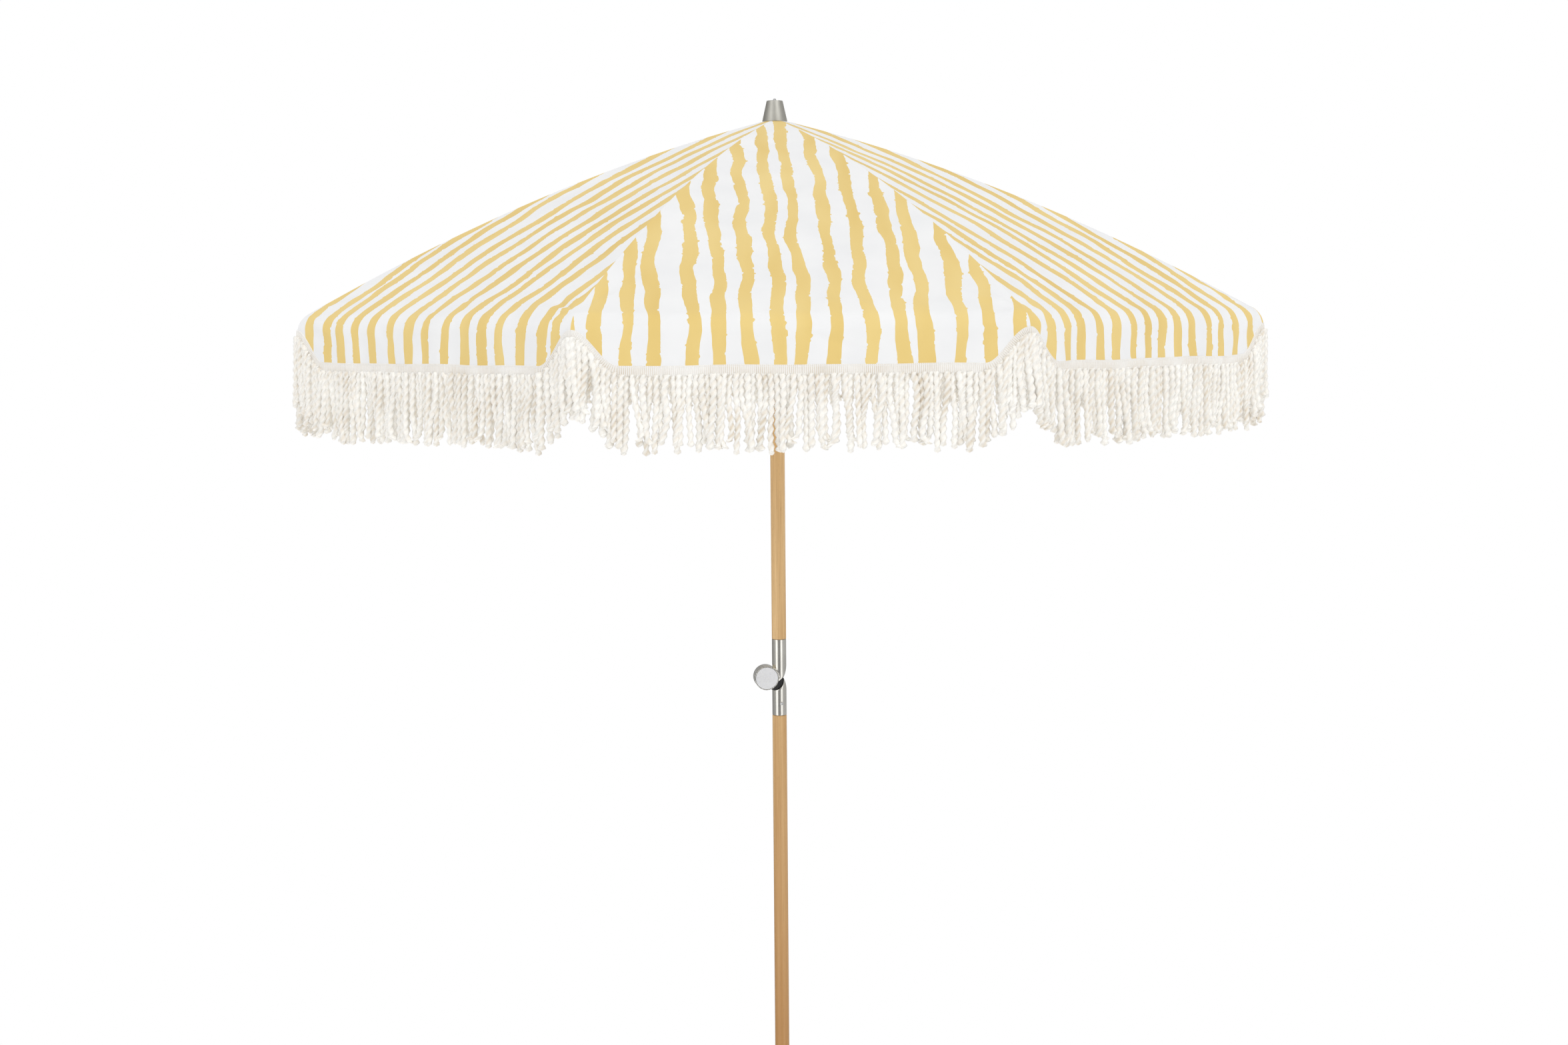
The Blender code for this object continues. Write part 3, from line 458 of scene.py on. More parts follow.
def turned(name, profile, paint, segments=96):
    """A closed profile of (radius, height) points turned about Z; radius 0 closes it."""
    angles = 2 * math.pi * np.arange(segments) / segments
    ring = np.stack([np.cos(angles), np.sin(angles), np.zeros(segments)], -1)
    points, starts = [], []
    total = 0
    for radius, height in profile:
        starts.append((total, radius > 0))
        part = ring * radius + np.array([0, 0, height]) if radius > 0 else np.array([[0, 0, height]])
        points.append(part)
        total += len(part)
    quads, triangles = [], []
    turn = np.arange(segments)
    after = (turn + 1) % segments
    pairs = list(zip(starts, starts[1:] + starts[:1]))
    if profile[0][0] == 0:
        pairs = pairs[:-1]
    for (top, wide_top), (low, wide_low) in pairs:
        if wide_top and wide_low:
            quads.append(np.stack([top + turn, low + turn, low + after, top + after], -1))
        elif wide_low:
            triangles.append(np.stack([np.full(segments, top), low + turn, low + after], -1))
        elif wide_top:
            triangles.append(np.stack([top + turn, np.full(segments, low), top + after], -1))
    faces = [np.concatenate(part) for part in (quads, triangles) if part]
    made = mesh_object(name, np.concatenate(points), faces, [paint])
    made.data.set_sharp_from_angle(angle=math.radians(38))
    return made


def tube(name, rings, paint):
    """A closed solid from an array of rings of points, with flat ends and its faces outwards."""
    count, around = rings.shape[:2]
    index = np.arange(count * around).reshape(count, around)
    after = np.roll(index, -1, axis=1)
    quads = np.stack([index[:-1], after[:-1], after[1:], index[1:]], -1).reshape(-1, 4)
    caps = np.stack([index[0, ::-1], index[-1]])
    made = mesh_object(name, rings.reshape(-1, 3), [quads, caps], [paint])
    bm = bmesh.new()
    bm.from_mesh(made.data)
    bmesh.ops.recalc_face_normals(bm, faces=bm.faces)
    bm.to_mesh(made.data)
    bm.free()
    return made


def wave(position, seed, lengths, size):
    """A smooth irregular wave: a sum of sines with seeded phases."""
    local = random.Random(seed)
    total = np.zeros_like(position, dtype=float)
    for length in lengths:
        total += local.uniform(0.6, 1.0) * np.sin(2 * math.pi * position / length + local.uniform(0, 7))
    return total * size / len(lengths)


# ---------------------------------------------------------------- canopy surface
def valance_drop(from_corner):
    """How far the braid's top edge lies below a corner of the canopy."""
    share = np.clip(from_corner / CORNER_CURVE, 0, 1)
    return CORNER_DROP + (VALANCE_DROP - CORNER_DROP) * (1 - np.cos(math.pi * share)) / 2


def length_at_drop(drop):
    """Length along the fabric from the start of the rim's bend down to a height below the rim."""
    below = RIM_Z - drop - BEND_CENTRE_Z
    bend = RIM_R * (np.arccos(np.clip(below / RIM_R, -1, 1)) - RIM_SLOPE)
    return np.where(below > 0, bend, BEND_LENGTH - below)


def edge_place(from_corner, length, side, gore):
    """Point on the bend or the hanging valance, in the gore's own axes (out, along, up)."""
    angle = RIM_SLOPE + np.minimum(length, BEND_LENGTH) / RIM_R
    out = APOTHEM - RIM_R + RIM_R * np.sin(angle)
    up = BEND_CENTRE_Z + RIM_R * np.cos(angle) - np.maximum(length - BEND_LENGTH, 0)
    along = side * (HALF_EDGE - from_corner) * out / APOTHEM
    hang = np.clip(length / (BEND_LENGTH + VALANCE_DROP), 0, 1.5)
    free = np.clip(from_corner / 0.06, 0, 1) * hang
    flutes = wave(along, gore * 5 + 1, (0.31, 0.17, 0.11), 0.007) * free
    return np.stack([out + flutes, along, up + wave(along, gore + 50, (0.4, 0.23), 0.002) * free], -1)


def wrinkles(from_corner, inwards, seed):
    """Height of the faint folds that fan out of a corner and of the short puckers along the rim."""
    local = random.Random(seed)
    distance = np.hypot(from_corner, inwards) + 1e-6
    bearing = np.arctan2(inwards, from_corner)
    height = np.zeros_like(distance)
    for _ in range(8):
        heading, reach = local.uniform(-1.0, 1.2), local.uniform(0.09, 0.22)
        size, spread = local.uniform(-0.0040, 0.0048), local.uniform(0.06, 0.11)
        perpendicular = distance * np.sin(bearing - heading)
        width = 0.005 + spread * distance
        height += size * np.exp(-(perpendicular / width) ** 2 - distance / reach)
    for _ in range(11):
        place, level = local.uniform(0.04, HALF_EDGE), local.uniform(-0.075, 0.035)
        heading, size = local.uniform(-1.3, 1.3), local.uniform(-0.0024, 0.0028)
        length, width = local.uniform(0.025, 0.060), local.uniform(0.008, 0.013)
        run = (from_corner - place) * math.cos(heading) + (inwards - level) * math.sin(heading)
        aside = (inwards - level) * math.cos(heading) - (from_corner - place) * math.sin(heading)
        height += size * np.exp(-(run / length) ** 2 - (aside / width) ** 2)
    return height * np.clip(from_corner / 0.03, 0, 1)


COLUMN_GROUP = 10                # columns of one straight piece of valance


def edge_columns():
    """Distances from the corner, fine along the curve at the corner, and the cuts between pieces."""
    curve = np.linspace(0, CORNER_CURVE, 15)
    straight = np.linspace(CORNER_CURVE, HALF_EDGE, COLUMN_GROUP * (SEGMENTS - 1) + 1)
    columns = np.concatenate([curve, straight[1:]])
    cuts = [0, len(curve) - 1] + [len(curve) - 1 + COLUMN_GROUP * n for n in range(1, SEGMENTS)]
    return columns, cuts


COLUMNS, CUTS = edge_columns()
ROOF_ROWS = np.concatenate([[HOLE_R, 0.022, 0.033, 0.042], np.linspace(0.055, BEND_START - 0.14, 46),
                            np.linspace(BEND_START - 0.13, BEND_START, 14)])
BEND_ROWS = 8
VALANCE_ROWS = 11


def gore_grid(gore):
    """The gore's fabric from the crown to the braid: points in its own axes and cloth coordinates.

    Columns run from one rib (side -1) over the middle to the other rib (side 1).
    """
    halves = []
    for side in (-1, 1):
        inwards = ROOF_ROWS[:, None]
        share = 1 - COLUMNS[None, :] / HALF_EDGE
        along = side * share * inwards * TAN_HALF
        radius = inwards / math.cos(HALF_GORE) * np.ones_like(share)
        position = np.clip((radius - CANOPY_FLAT_R) / (CORNER_R - CANOPY_FLAT_R), 0, 1)
        slack = (1 - share ** 2) * np.sin(math.pi * position)
        up = cloth_z(radius) - slack * (GORE_SAG + wave(along + inwards, gore + 9, (0.5, 0.31), 0.0015))
        folds = wrinkles(COLUMNS[None, :], BEND_START - inwards, gore * 2 + (side > 0))
        up += folds * math.cos(RIM_SLOPE)
        roof = np.stack([inwards + folds * math.sin(RIM_SLOPE), along, up], -1)
        end = length_at_drop(valance_drop(COLUMNS))
        cut = np.minimum(BEND_LENGTH, 0.55 * end)
        steps = np.linspace(0, 1, BEND_ROWS + 1)[1:, None]
        falls = np.linspace(0, 1, VALANCE_ROWS + 1)[1:, None]
        lengths = np.concatenate([steps * cut, cut + falls * (end - cut)])
        edge = edge_place(COLUMNS[None, :] * np.ones_like(lengths), lengths, side, gore)
        folds = wrinkles(COLUMNS[None, :], -lengths, gore * 2 + (side > 0))
        lean = RIM_SLOPE + np.minimum(lengths, BEND_LENGTH) / RIM_R
        edge[..., 0] += folds * np.sin(lean)
        edge[..., 2] += folds * np.cos(lean)
        halves.append((np.concatenate([roof, edge]), lengths))
    left, right = halves[0][0], halves[1][0][:, ::-1]
    points = np.concatenate([left, right[:, 1:]], 1)
    lengths = np.concatenate([halves[0][1], halves[1][1][:, ::-1][:, 1:]], 1)
    middle = points[:len(ROOF_ROWS), len(COLUMNS) - 1]
    run = np.concatenate([[0], np.cumsum(np.linalg.norm(np.diff(middle, axis=0), axis=1))])
    down = np.concatenate([run[:, None] * np.ones(points.shape[1]), run[-1] + lengths])
    coordinates = np.stack([points[..., 1], down, np.full(down.shape, float(gore))], -1)
    return points, coordinates


def to_world(points, gore):
    """From a gore's axes (out, along, up) to the frame's."""
    azimuth = rib_azimuth(gore) + HALF_GORE
    return points @ np.stack([radial(azimuth), across(azimuth), np.array([0, 0, 1.0])])


# ---------------------------------------------------------------- folding
def rib_fold(rib):
    """Matrix that takes a rib from open to folded, from its hinge."""
    hinge = JOINTS[f"rib_{rib}_hinge"]
    pivot = Vector(hinge["pos_m"])
    turn = Matrix.Rotation(math.radians(hinge["range_deg"][1]), 4, Vector(hinge["axis"]))
    return Matrix.Translation(pivot) @ turn @ Matrix.Translation(-pivot)


def rib_axes(rib, side):
    """Directions over the gore on that side of a rib and out of the canopy."""
    azimuth = rib_azimuth(rib)
    crown = Vector(JOINTS[f"rib_{rib}_hinge"]["pos_m"])
    tip = Vector((*(CORNER_R * radial(azimuth))[:2], RIM_Z))
    chord = (tip - crown).normalized()
    over = Vector(side * across(azimuth))
    normal = Vector(across(azimuth)).cross(chord).normalized()
    return over, normal if normal.z > 0 else -normal


def gore_squash(rib, side):
    """Axis and anchor that pleat half a gore against its rib."""
    over, normal = rib_axes(rib, side)
    axis = math.cos(FOLD_TILT) * over + math.sin(FOLD_TILT) * normal
    tip = Vector((*(CORNER_R * radial(rib_azimuth(rib)))[:2], RIM_Z))
    return axis, tip + FOLD_SEAM * over


def folded(point, rib, side):
    """Where a point of half a gore goes when the umbrella folds."""
    axis, anchor = gore_squash(rib, side)
    point = Vector(point)
    flattened = point - (point - anchor).dot(axis) * (1 - FOLD_KEEP) * axis
    return rib_fold(rib) @ flattened


def follow_gore(piece, top, rib, side, keep):
    """Works out how a hanging piece would move with the edge of its gore, and narrow, when the umbrella
    folds, and gives the piece its own mesh.
    """
    hinge = JOINTS[f"skirt_{rib}_hinge"]
    tip = Vector(hinge["pos_m"])
    carried = rib_fold(rib) @ tip - tip
    shift = folded(top, rib, side) - carried - Vector(top) + FOLD_LIFT
    axis = shift.normalized()
    anchor = Vector(top) + axis * (shift.length / (1 - keep))
    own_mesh(piece)


def half_of(gore, side):
    """The rib that carries one half of a gore: side -1 is the half on the gore's own rib."""
    return gore if side < 0 else gore % RIBS + 1


# ---------------------------------------------------------------- canopy pieces
def make_gore(gore):
    """Both halves of a gore's roof and all of its hanging valance pieces."""
    local, coordinates = gore_grid(gore)
    points = to_world(local, gore)
    outwards = to_world(np.array([[0.5, 0, 0.9]]), gore)[0]
    normals = grid_normals(points, outwards)
    middle = len(COLUMNS) - 1
    roof_end = len(ROOF_ROWS) + BEND_ROWS
    paints = ["canopy_fabric", "canopy_fabric_inside"]
    for side, name in ((-1, "a"), (1, "b")):
        rib = half_of(gore, side)
        columns = slice(0, middle + 1) if side < 0 else slice(middle, 2 * middle + 1)
        part = (slice(0, roof_end), columns)
        half = cloth_sheet(f"gore_{gore}{name}", points[part], normals[part], coordinates[part],
                           CLOTH, paints)
        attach(half, f"rib_{rib}")
        if side < 0:
            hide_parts(f"canopy_panel_{gore}")
        axis, anchor = gore_squash(rib, -side)
        tuple(axis)
        tuple(anchor)
        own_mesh(half)
        for number, (start, end) in enumerate(zip(CUTS, CUTS[1:])):
            if side > 0:
                start, end = 2 * middle - end, 2 * middle - start
            part = (slice(roof_end - 1, None), slice(start, end + 1))
            piece = cloth_sheet(f"valance_{gore}{name}_{number + 1}", points[part], normals[part],
                                coordinates[part], CLOTH, paints)
            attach(piece, f"skirt_{rib}")
            follow_gore(piece, points[roof_end - 1, (start + end) // 2], rib, -side, VALANCE_KEEP)


def make_trim(gore, side):
    """Braid and fringe of half a gore, in one piece for each piece of the valance."""
    rib = half_of(gore, side)
    fine = np.linspace(0, HALF_EDGE, 2400)
    end = length_at_drop(valance_drop(fine))
    run = np.concatenate([[0], np.cumsum(np.hypot(np.diff(fine), np.diff(end)))])
    slope = np.gradient(end, fine)
    stretch = np.hypot(1, slope)
    normal_along, normal_down = -slope / stretch, 1 / stretch

    def on_fabric(place, below, out):
        """A point of the braid: its run along the edge, its depth below the edge, and how far out."""
        corner = np.interp(place, run, fine) + np.interp(place, run, normal_along) * below
        length = np.interp(place, run, end) + np.interp(place, run, normal_down) * below
        corner = np.maximum(corner, 0.0)
        here = edge_place(corner, length, side, gore)
        beyond = edge_place(corner, length + 0.001, side, gore)
        down = beyond - here
        down /= np.linalg.norm(down, axis=-1, keepdims=True)
        outwards = np.stack([-down[..., 2], np.zeros(down.shape[:-1]), down[..., 0]], -1)
        return to_world(here + outwards * np.asarray(out)[..., None], gore)

    for number, (start, stop) in enumerate(zip(CUTS, CUTS[1:])):
        first, last = np.interp([COLUMNS[start], COLUMNS[stop]], fine, run)
        top = on_fabric(np.array([(first + last) / 2]), np.array([-0.004]), np.array([0.0]))[0]
        place = f"{gore}{'a' if side < 0 else 'b'}_{number + 1}"
        braid = make_braid(f"braid_{place}", on_fabric, first, last)
        fringe = make_fringe(f"fringe_{place}", on_fabric, first, last, gore, side, number)
        for piece in (braid, fringe):
            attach(piece, f"skirt_{rib}")
            follow_gore(piece, top, rib, -side, TRIM_KEEP)
        if side < 0 and number == 0:
            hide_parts(f"skirt_{gore}")


def make_braid(name, on_fabric, first, last):
    """Band with fine upright ridges and a beaded upper edge, sewn over the fabric's edge."""
    count = max(8, int((last - first) / BRAID_PITCH * 5))
    places = np.linspace(first, last, count + 1)
    ridge = np.abs(np.sin(math.pi * places / BRAID_PITCH))
    # depth below the fabric's edge, share of the thickness, share of the ridges
    section = [(-0.0022, -0.0003, 0.0), (-0.0020, 0.55, 0.6), (-0.0006, 0.95, 0.8), (0.0012, 0.60, 0.3),
               (0.0030, 0.85, 1.0), (0.0100, 0.95, 1.0), (0.0160, 0.85, 1.0), (0.0185, 0.95, 0.9),
               (BRAID_HEIGHT, 0.5, 0.5), (BRAID_HEIGHT, -0.2, 0.0)]
    rows = []
    for below, out, ridged in section:
        depth = BRAID_THICKNESS * out + RIDGE_DEPTH * ridged * (ridge - 0.5)
        rows.append(on_fabric(places, np.full(len(places), below), depth))
    behind = np.full(len(places), -0.0014 - CLOTH)
    for below in (BRAID_HEIGHT, section[0][0]):
        rows.append(on_fabric(places, np.full(len(places), below), behind))
    made = tube(name, np.stack(rows, 1), "braid_cotton")
    # painted shade: darker in the grooves between the ridges, none on the back rows
    hollow_shade = [np.clip((1 - ridge) * 0.9 * part[2], 0, 1) for part in section] + [ridge * 0] * 2
    add_attribute(made, "hollow_shade", "FLOAT", np.stack(hollow_shade, 1))
    return made


CORD_SIDES = 8
CORD_RINGS = 60
CURLED_SHARE = 0.30              # of the cords, turned aside and up at their ends


def make_fringe(name, on_fabric, first, last, gore, side, number):
    """Twisted two-ply cords that hang from the braid, bunch together, cross and curl at their ends."""
    rng = np.random.default_rng(1000 * gore + 100 * (side > 0) + number)
    rising = number == 0
    count = max(3, round((last - first) / CORD_PITCH * (CORNER_DENSITY if rising else 1)))
    turn = np.arange(count)
    places = first + (turn + 0.5) * (last - first) / count + rng.uniform(-0.0012, 0.0012, count)
    layer = np.where(turn % 2 == 0, 0.0012, -0.0030) + rng.uniform(-0.0010, 0.0010, count)
    layer += CORNER_CORD_OUT if rising else 0
    start = on_fabric(places, np.full(count, CORNER_CORD_START if rising else CORD_START), layer)
    azimuth = rib_azimuth(gore) + HALF_GORE
    along, out = across(azimuth), radial(azimuth)

    depth = np.linspace(0, 1, CORD_RINGS + 1)[None, :]
    length = CORD_LENGTH * rng.uniform(0.90, 1.05, count)[:, None]
    position = places + 3 * gore + side
    each = (count, 1)
    bunch = wave(position, gore * 7 + 3, (0.075, 0.044, 0.029), 0.022) + rng.normal(0, 0.0038, count)
    sway = rng.normal(0, 0.0034, each) * np.sin(math.pi * depth * rng.uniform(1.2, 2.6, each))
    lateral = bunch[:, None] * depth ** 1.2 + sway
    forwards = rng.normal(0, 0.0058, each) * depth ** 1.3
    ripple = rng.normal(0, 0.0018, each) * np.sin(math.pi * depth * rng.uniform(1, 3, each))
    forwards += ripple
    curls = rng.random(each) < CURLED_SHARE
    curls = curls * rng.choice([-1.0, 1.0], each) * rng.uniform(0.008, 0.020, each)
    tail = np.clip((depth - 0.78) / 0.22, 0, 1)
    lateral += curls * tail ** 1.6
    fall = length * depth - np.abs(curls) * 0.5 * tail ** 2
    centre = (start[:, None, :] + lateral[..., None] * along + forwards[..., None] * out
              - fall[..., None] * np.array([0, 0, 1.0]))

    size = CORD_R * rng.uniform(0.88, 1.15, each)
    knot = 1 + 0.28 * np.exp(-((depth - 0.955) / 0.022) ** 2) * rng.uniform(0.3, 1.3, each)
    close = np.sqrt(np.clip(1 - ((depth - 0.965) / 0.036).clip(0, 1) ** 2, 0.02, 1))
    size = size * knot * close * (1 - 0.12 * np.exp(-depth / 0.05))
    angles = 2 * math.pi * np.arange(CORD_SIDES) / CORD_SIDES
    lobes = 1.56 + 0.46 * np.cos(2 * angles)
    twist = 2 * math.pi * length * depth / CORD_LAY + rng.uniform(0, 3.1, each)
    around = twist[..., None] + angles
    reach = size[..., None] * lobes
    points = (centre[:, :, None, :] + (reach * np.cos(around))[..., None] * along
              + (reach * np.sin(around))[..., None] * out)

    rings = CORD_RINGS + 1
    index = np.arange(count * rings * CORD_SIDES).reshape(count, rings, CORD_SIDES)
    turned_index = np.roll(index, -1, axis=2)
    quads = np.stack([index[:, :-1], index[:, 1:], turned_index[:, 1:], turned_index[:, :-1]], -1)
    faces = [quads.reshape(-1, 4), index[:, 0], index[:, -1, ::-1]]
    made = mesh_object(name, points.reshape(-1, 3), faces, ["fringe_cotton"])
    # painted shade where a cord's two plies meet, stronger on some cords than on others
    shade = (np.abs(np.sin(angles)) ** 2)[None, None, :] * np.ones((count, rings, 1))
    shade = shade * rng.uniform(0.25, 1.0, (count, 1, 1)) * 0.95
    add_attribute(made, "hollow_shade", "FLOAT", shade)
    return made


SEAM_HALF = 0.020               # half the width of the seam tape
SEAM_START = 0.045              # its distance from the pole's axis
SEAM_END = 0.034                # and from the corner
SEAM_BELOW = 0.0024             # its depth under the fabric


def make_seam(rib):
    """Tape under the seam over a rib, which also covers the seam when the canopy folds."""
    azimuth = rib_azimuth(rib)
    rows = np.linspace(SEAM_START, CORNER_R - SEAM_END, 60)
    half = np.minimum(SEAM_HALF, 0.75 * rows * TAN_HALF)[:, None]
    span = np.linspace(-1, 1, 9)[None, :]
    over = half * span
    inwards = rows[:, None] * math.cos(HALF_GORE) + np.abs(over) * math.sin(HALF_GORE)
    inwards = inwards / math.cos(HALF_GORE)
    up = cloth_z(inwards) - SEAM_BELOW - 0.0015 * np.abs(span)
    points = rows[:, None, None] * radial(azimuth) + over[..., None] * across(azimuth)
    points = points + up[..., None] * np.array([0, 0, 1.0])
    normals = grid_normals(points, np.array([0, 0, 1.0]))
    coordinates = np.stack([over, rows[:, None] * np.ones_like(over),
                            np.full(over.shape, 20.0 + rib)], -1)
    tape = cloth_sheet(f"seam_tape_{rib}", points, normals, coordinates, TAPE, ["seam_cloth"] * 2)
    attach(tape, f"rib_{rib}")


POCKET_START = 0.062            # distance of the pocket's mouth from the corner
POCKET_LENGTH = 0.050
POCKET_R = 0.0062
POCKET_BELOW = 0.0098           # depth of its middle line under the fabric


def make_tip_pocket(rib):
    """Small white pocket of cloth that takes a rib's tip at a corner of the canopy."""
    azimuth = rib_azimuth(rib)
    angles = np.linspace(0, 2 * math.pi, 25)[:-1]
    tip_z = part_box(f"rib_{rib}")[0].z
    places = np.linspace(0, 1, 14)
    rows = []
    for share in places:
        reach = CORNER_R - POCKET_START + POCKET_LENGTH * share
        closing = math.sqrt(max(0.0, 1 - max(0.0, (share - 0.85) / 0.155) ** 2))
        size = (POCKET_R + 0.0008 * math.sin(9 * share)) * max(0.18, closing)
        height = float(cloth_z(reach)) - POCKET_BELOW
        ring = (reach * radial(azimuth) + np.array([0, 0, max(height, tip_z - 0.004)])
                + size * 1.35 * np.cos(angles)[:, None] * across(azimuth)
                + size * 0.80 * np.sin(angles)[:, None] * np.array([0, 0, 1.0]))
        rows.append(ring)
    made = tube(f"tip_pocket_{rib}", np.stack(rows), "seam_cloth")
    one_place = np.tile([0.00125, 0.3, 30.0], (len(rows) * len(angles), 1))
    add_attribute(made, "cloth", "FLOAT_VECTOR", one_place)
    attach(made, f"rib_{rib}")


# ---------------------------------------------------------------- poles, knuckle and finial
def pole_piece(name, low, high, radius, body):
    edge = 0.0012
    made = turned(f"{name}_wood", [(0, high), (radius - edge, high), (radius, high - edge),
                                   (radius, low + edge), (radius - edge, low), (0, low)], "wood")
    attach(made, body)
    return made


def make_poles():
    """Round wooden poles between the ends of the knuckle's sleeves, with a crisp small chamfer."""
    pole_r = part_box("lower_pole")[1].x
    lower = pole_piece("lower_pole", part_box("lower_pole")[0].z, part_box("lower_knuckle")[0].z - 0.0003,
                       pole_r, "lower_pole")
    upper = pole_piece("upper_pole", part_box("upper_knuckle")[1].z + 0.0003,
                       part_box("crown_hub")[0].z + 0.04, pole_r, "upper_pole")
    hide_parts("lower_pole")
    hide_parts("upper_pole")


def even_normals(mesh, rounds):
    """Averages the shading normals with their neighbours', but not over an edge."""
    count = len(mesh.vertices)
    ends = np.empty(2 * len(mesh.edges), np.int32)
    normals = np.empty(3 * count, np.float32)
    mesh.edges.foreach_get("vertices", ends)
    mesh.vertices.foreach_get("normal", normals)
    first, second = ends.reshape(-1, 2).T
    normals = normals.reshape(-1, 3).astype(float)
    for _ in range(rounds):
        alike = (normals[first] * normals[second]).sum(1) > 0.93
        one, other = first[alike], second[alike]
        for axis in range(3):
            column = normals[:, axis]
            gained = np.bincount(one, column[other], count) + np.bincount(other, column[one], count)
            normals[:, axis] = column + gained
        normals /= np.linalg.norm(normals, axis=1, keepdims=True)
    mesh.normals_split_custom_set_from_vertices(normals.tolist())


CASTING_VOXEL = 0.0007


def make_casting(node, body):
    """A knuckle half as a casting: the frame's shape with softened edges and fillets."""
    source = NODES[node]
    made = bpy.data.objects.new(f"{node}_casting", source.data.copy())
    bpy.context.scene.collection.objects.link(made)
    made.data.materials.clear()
    made.data.materials.append(PAINT["satin_metal"])
    weld = made.modifiers.new("Weld", "WELD")
    weld.merge_threshold = 0.00001
    remesh = made.modifiers.new("Remesh", "REMESH")
    remesh.mode = "VOXEL"
    remesh.voxel_size = CASTING_VOXEL
    smooth = made.modifiers.new("Smooth", "SMOOTH")
    smooth.factor, smooth.iterations = 0.5, 10
    bpy.context.view_layer.update()
    mesh = bpy.data.meshes.new_from_object(made.evaluated_get(bpy.context.evaluated_depsgraph_get()))
    made.modifiers.clear()
    made.data = mesh
    mesh.shade_smooth()
    even_normals(mesh, 16)
    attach(made, body)
    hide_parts(node)


def make_finial():
    """Brushed metal cone with rounded edges over the crown."""
    low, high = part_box("finial")
    base_r, top_r, edge, bore = high.x, 0.021, 0.0014, 0.0043
    profile = [(bore, high.z - 0.0012), (0.0075, high.z - 0.0012), (0.0085, high.z)]
    for step in range(5):
        angle = math.pi / 2 * step / 4
        profile.append((top_r - edge + edge * math.sin(angle), high.z - edge + edge * math.cos(angle)))
    profile += [(base_r, low.z + 0.004), (base_r, low.z + 0.001), (base_r - 0.0008, low.z), (bore, low.z)]
    made = turned("finial_cone", profile, "brushed_metal", 128)
    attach(made, "upper_pole")
    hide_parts("finial")


def round_edges(node, width):
    """Bevels the edges of a CAD piece that stays."""
    bevel = NODES[node].modifiers.new("Edges", "BEVEL")
    bevel.width, bevel.segments = width, 3
    bevel.limit_method, bevel.angle_limit = "ANGLE", math.radians(35)


def one_a_rib(name):
    return [f"{name}_{number}" for number in range(1, RIBS + 1)]


def paint_frame():
    """Gives every CAD piece that stays its detailed material and smooth shading."""
    painted = {
        "steel": ["lower_sleeve_screw", "upper_sleeve_screw", "pivot_bolt", "pivot_nut", "tooth_ring",
                  "button_spring", "crown_ring", "finial_stud", "runner_ring", *one_a_rib("strut")],
        "black_plastic": ["friction_washer", *one_a_rib("rib_joint")],
        "white_plastic": ["crown_hub", "canopy_washer", "runner", "runner_knob"],
        "fibreglass": one_a_rib("rib"),
        "button": ["tilt_button"],
    }
    for paint, nodes in painted.items():
        for node in nodes:
            mesh = NODES[node].data
            mesh.materials.clear()
            mesh.materials.append(PAINT[paint])
            mesh.shade_smooth()
            mesh.set_sharp_from_angle(angle=math.radians(42))
    for node in ("tilt_button", "runner", "runner_knob", "crown_hub"):
        round_edges(node, 0.0005)


# ---------------------------------------------------------------- stage
def make_floor():
    bm = bmesh.new()
    bmesh.ops.create_circle(bm, cap_ends=True, segments=96, radius=40)
    mesh = bpy.data.meshes.new("floor")
    bm.to_mesh(mesh)
    bm.free()
    mesh.materials.append(floor_material())
    floor = bpy.data.objects.new("floor", mesh)
    bpy.context.scene.collection.objects.link(floor)
    floor.location.z = -0.0005
    floor.visible_glossy = False


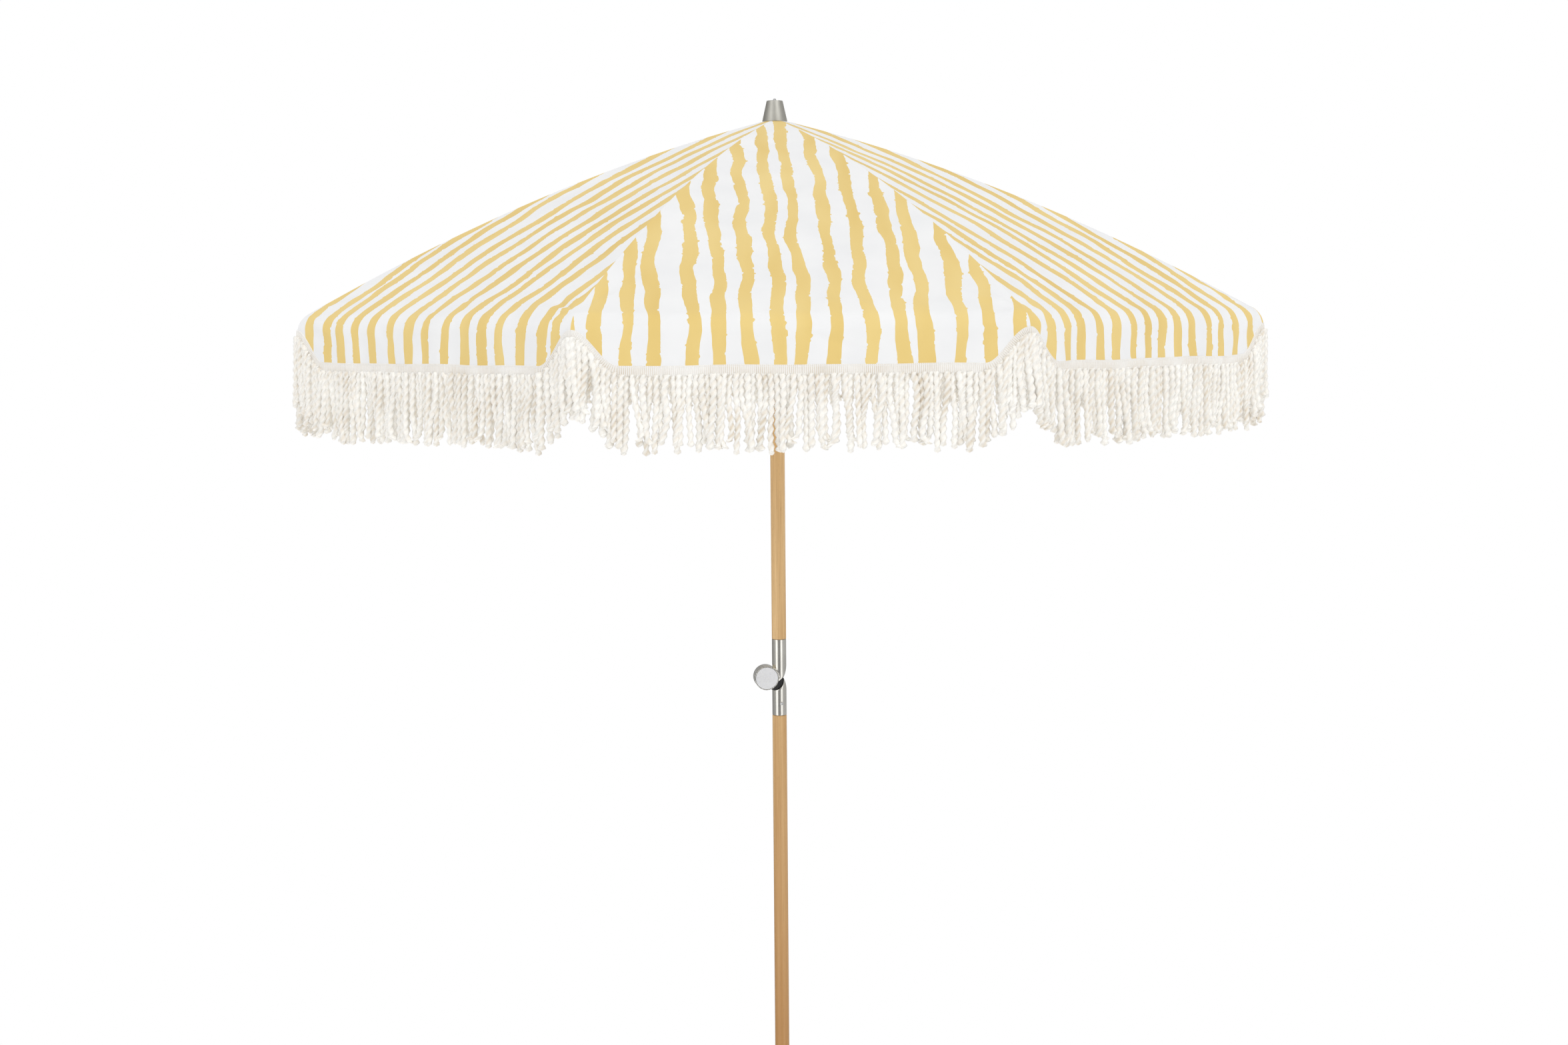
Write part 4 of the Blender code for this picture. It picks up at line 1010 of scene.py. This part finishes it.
def make_world():
    """White studio; mirrors see soft bright and dim bands, so that round metal gets its streaks."""
    world = bpy.data.worlds.new("studio")       # the camera itself sees plain white
    bpy.context.scene.world = world
    world.use_nodes = True
    world.cycles.sampling_method = "NONE"
    tree = world.node_tree
    tree.nodes.clear()

    def new(kind):
        return tree.nodes.new(f"ShaderNode{kind}")

    output, ray = new("OutputWorld"), new("LightPath")
    plain, banded, backdrop = new("Background"), new("Background"), new("Background")
    plain.inputs["Color"].default_value = (1, 1, 1, 1)
    plain.inputs["Strength"].default_value = 0.80
    backdrop.inputs["Color"].default_value = (1, 1, 1, 1)
    mix, behind = new("MixShader"), new("MixShader")
    place, parts = new("TexCoord"), new("SeparateXYZ")
    angle, scale, ramp = new("Math"), new("Math"), new("ValToRGB")
    angle.operation, scale.operation = "ARCTAN2", "MULTIPLY_ADD"
    scale.inputs[1].default_value, scale.inputs[2].default_value = 0.5 / math.pi, 0.5
    # place round the horizon and brightness; 0.25 is behind the camera
    bands = ((0.0, 0.45), (0.070, 0.52), (0.125, 1.8), (0.158, 1.6), (0.195, 0.36), (0.265, 0.24),
             (0.31, 0.60), (0.338, 1.8), (0.365, 1.6), (0.405, 0.58), (0.55, 0.54), (0.68, 0.55),
             (0.78, 0.36), (0.92, 0.36), (1.0, 0.45))
    elements = ramp.color_ramp.elements
    while len(elements) < len(bands):
        elements.new(0.5)
    for element, (position, level) in zip(elements, bands):
        element.position, element.color = position, (level, level, level, 1)
    ramp.color_ramp.interpolation = "EASE"
    for source, output_of, target, into in (
            (place, "Generated", parts, 0), (parts, "Y", angle, 0), (parts, "X", angle, 1),
            (angle, 0, scale, 0), (scale, 0, ramp, 0), (ramp, 0, banded, 0),
            (ray, "Is Glossy Ray", mix, 0), (plain, 0, mix, 1), (banded, 0, mix, 2),
            (ray, "Is Camera Ray", behind, 0), (mix, 0, behind, 1), (backdrop, 0, behind, 2),
            (behind, 0, output, 0)):
        tree.links.new(source.outputs[output_of], target.inputs[into])


def make_sun(name, heading, height, softness, strength):
    """A soft distant lamp from a heading (azimuth of the lamp) and height, in degrees."""
    data = bpy.data.lights.new(name, "SUN")
    data.angle, data.energy = math.radians(softness), strength
    lamp = bpy.data.objects.new(name, data)
    bpy.context.scene.collection.objects.link(lamp)
    toward = radial(math.radians(heading)) * math.cos(math.radians(height))
    toward[2] = math.sin(math.radians(height))
    lamp.rotation_euler = Vector(toward).to_track_quat("Z", "Y").to_euler()


def make_camera():
    """Camera a little to the left of the front and just above the rim, looking slightly down."""
    azimuth, distance, height = math.radians(-2.6), 5.625, 2.0
    pan, pitch, roll = math.radians(-0.16), math.radians(-5.52), math.radians(-0.45)
    data = bpy.data.cameras.new("camera")
    data.lens, data.sensor_width = 49.3, 36
    camera = bpy.data.objects.new("camera", data)
    bpy.context.scene.collection.objects.link(camera)
    place = Matrix.Translation((distance * math.sin(azimuth), -distance * math.cos(azimuth), height))
    aim = Matrix.Rotation(azimuth + pan, 4, "Z")
    aim = aim @ Matrix.Rotation(math.pi / 2 + pitch, 4, "X")
    camera.matrix_world = place @ aim @ Matrix.Rotation(roll, 4, "Z")
    bpy.context.scene.camera = camera


# ---------------------------------------------------------------- assembly
for gore_number in range(1, RIBS + 1):
    make_gore(gore_number)
    make_trim(gore_number, -1)
    make_trim(gore_number, 1)
for rib_number in range(1, RIBS + 1):
    make_seam(rib_number)
    make_tip_pocket(rib_number)
make_poles()
make_casting("upper_knuckle", "upper_pole")
make_casting("lower_knuckle", "lower_pole")
make_finial()
paint_frame()
make_floor()
make_world()
make_sun("key", heading=-66, height=50, softness=40, strength=0.80)
make_sun("fill", heading=-150, height=25, softness=60, strength=0.20)
make_camera()
bpy.context.scene.view_settings.view_transform = "Standard"

bpy.context.view_layer.update()
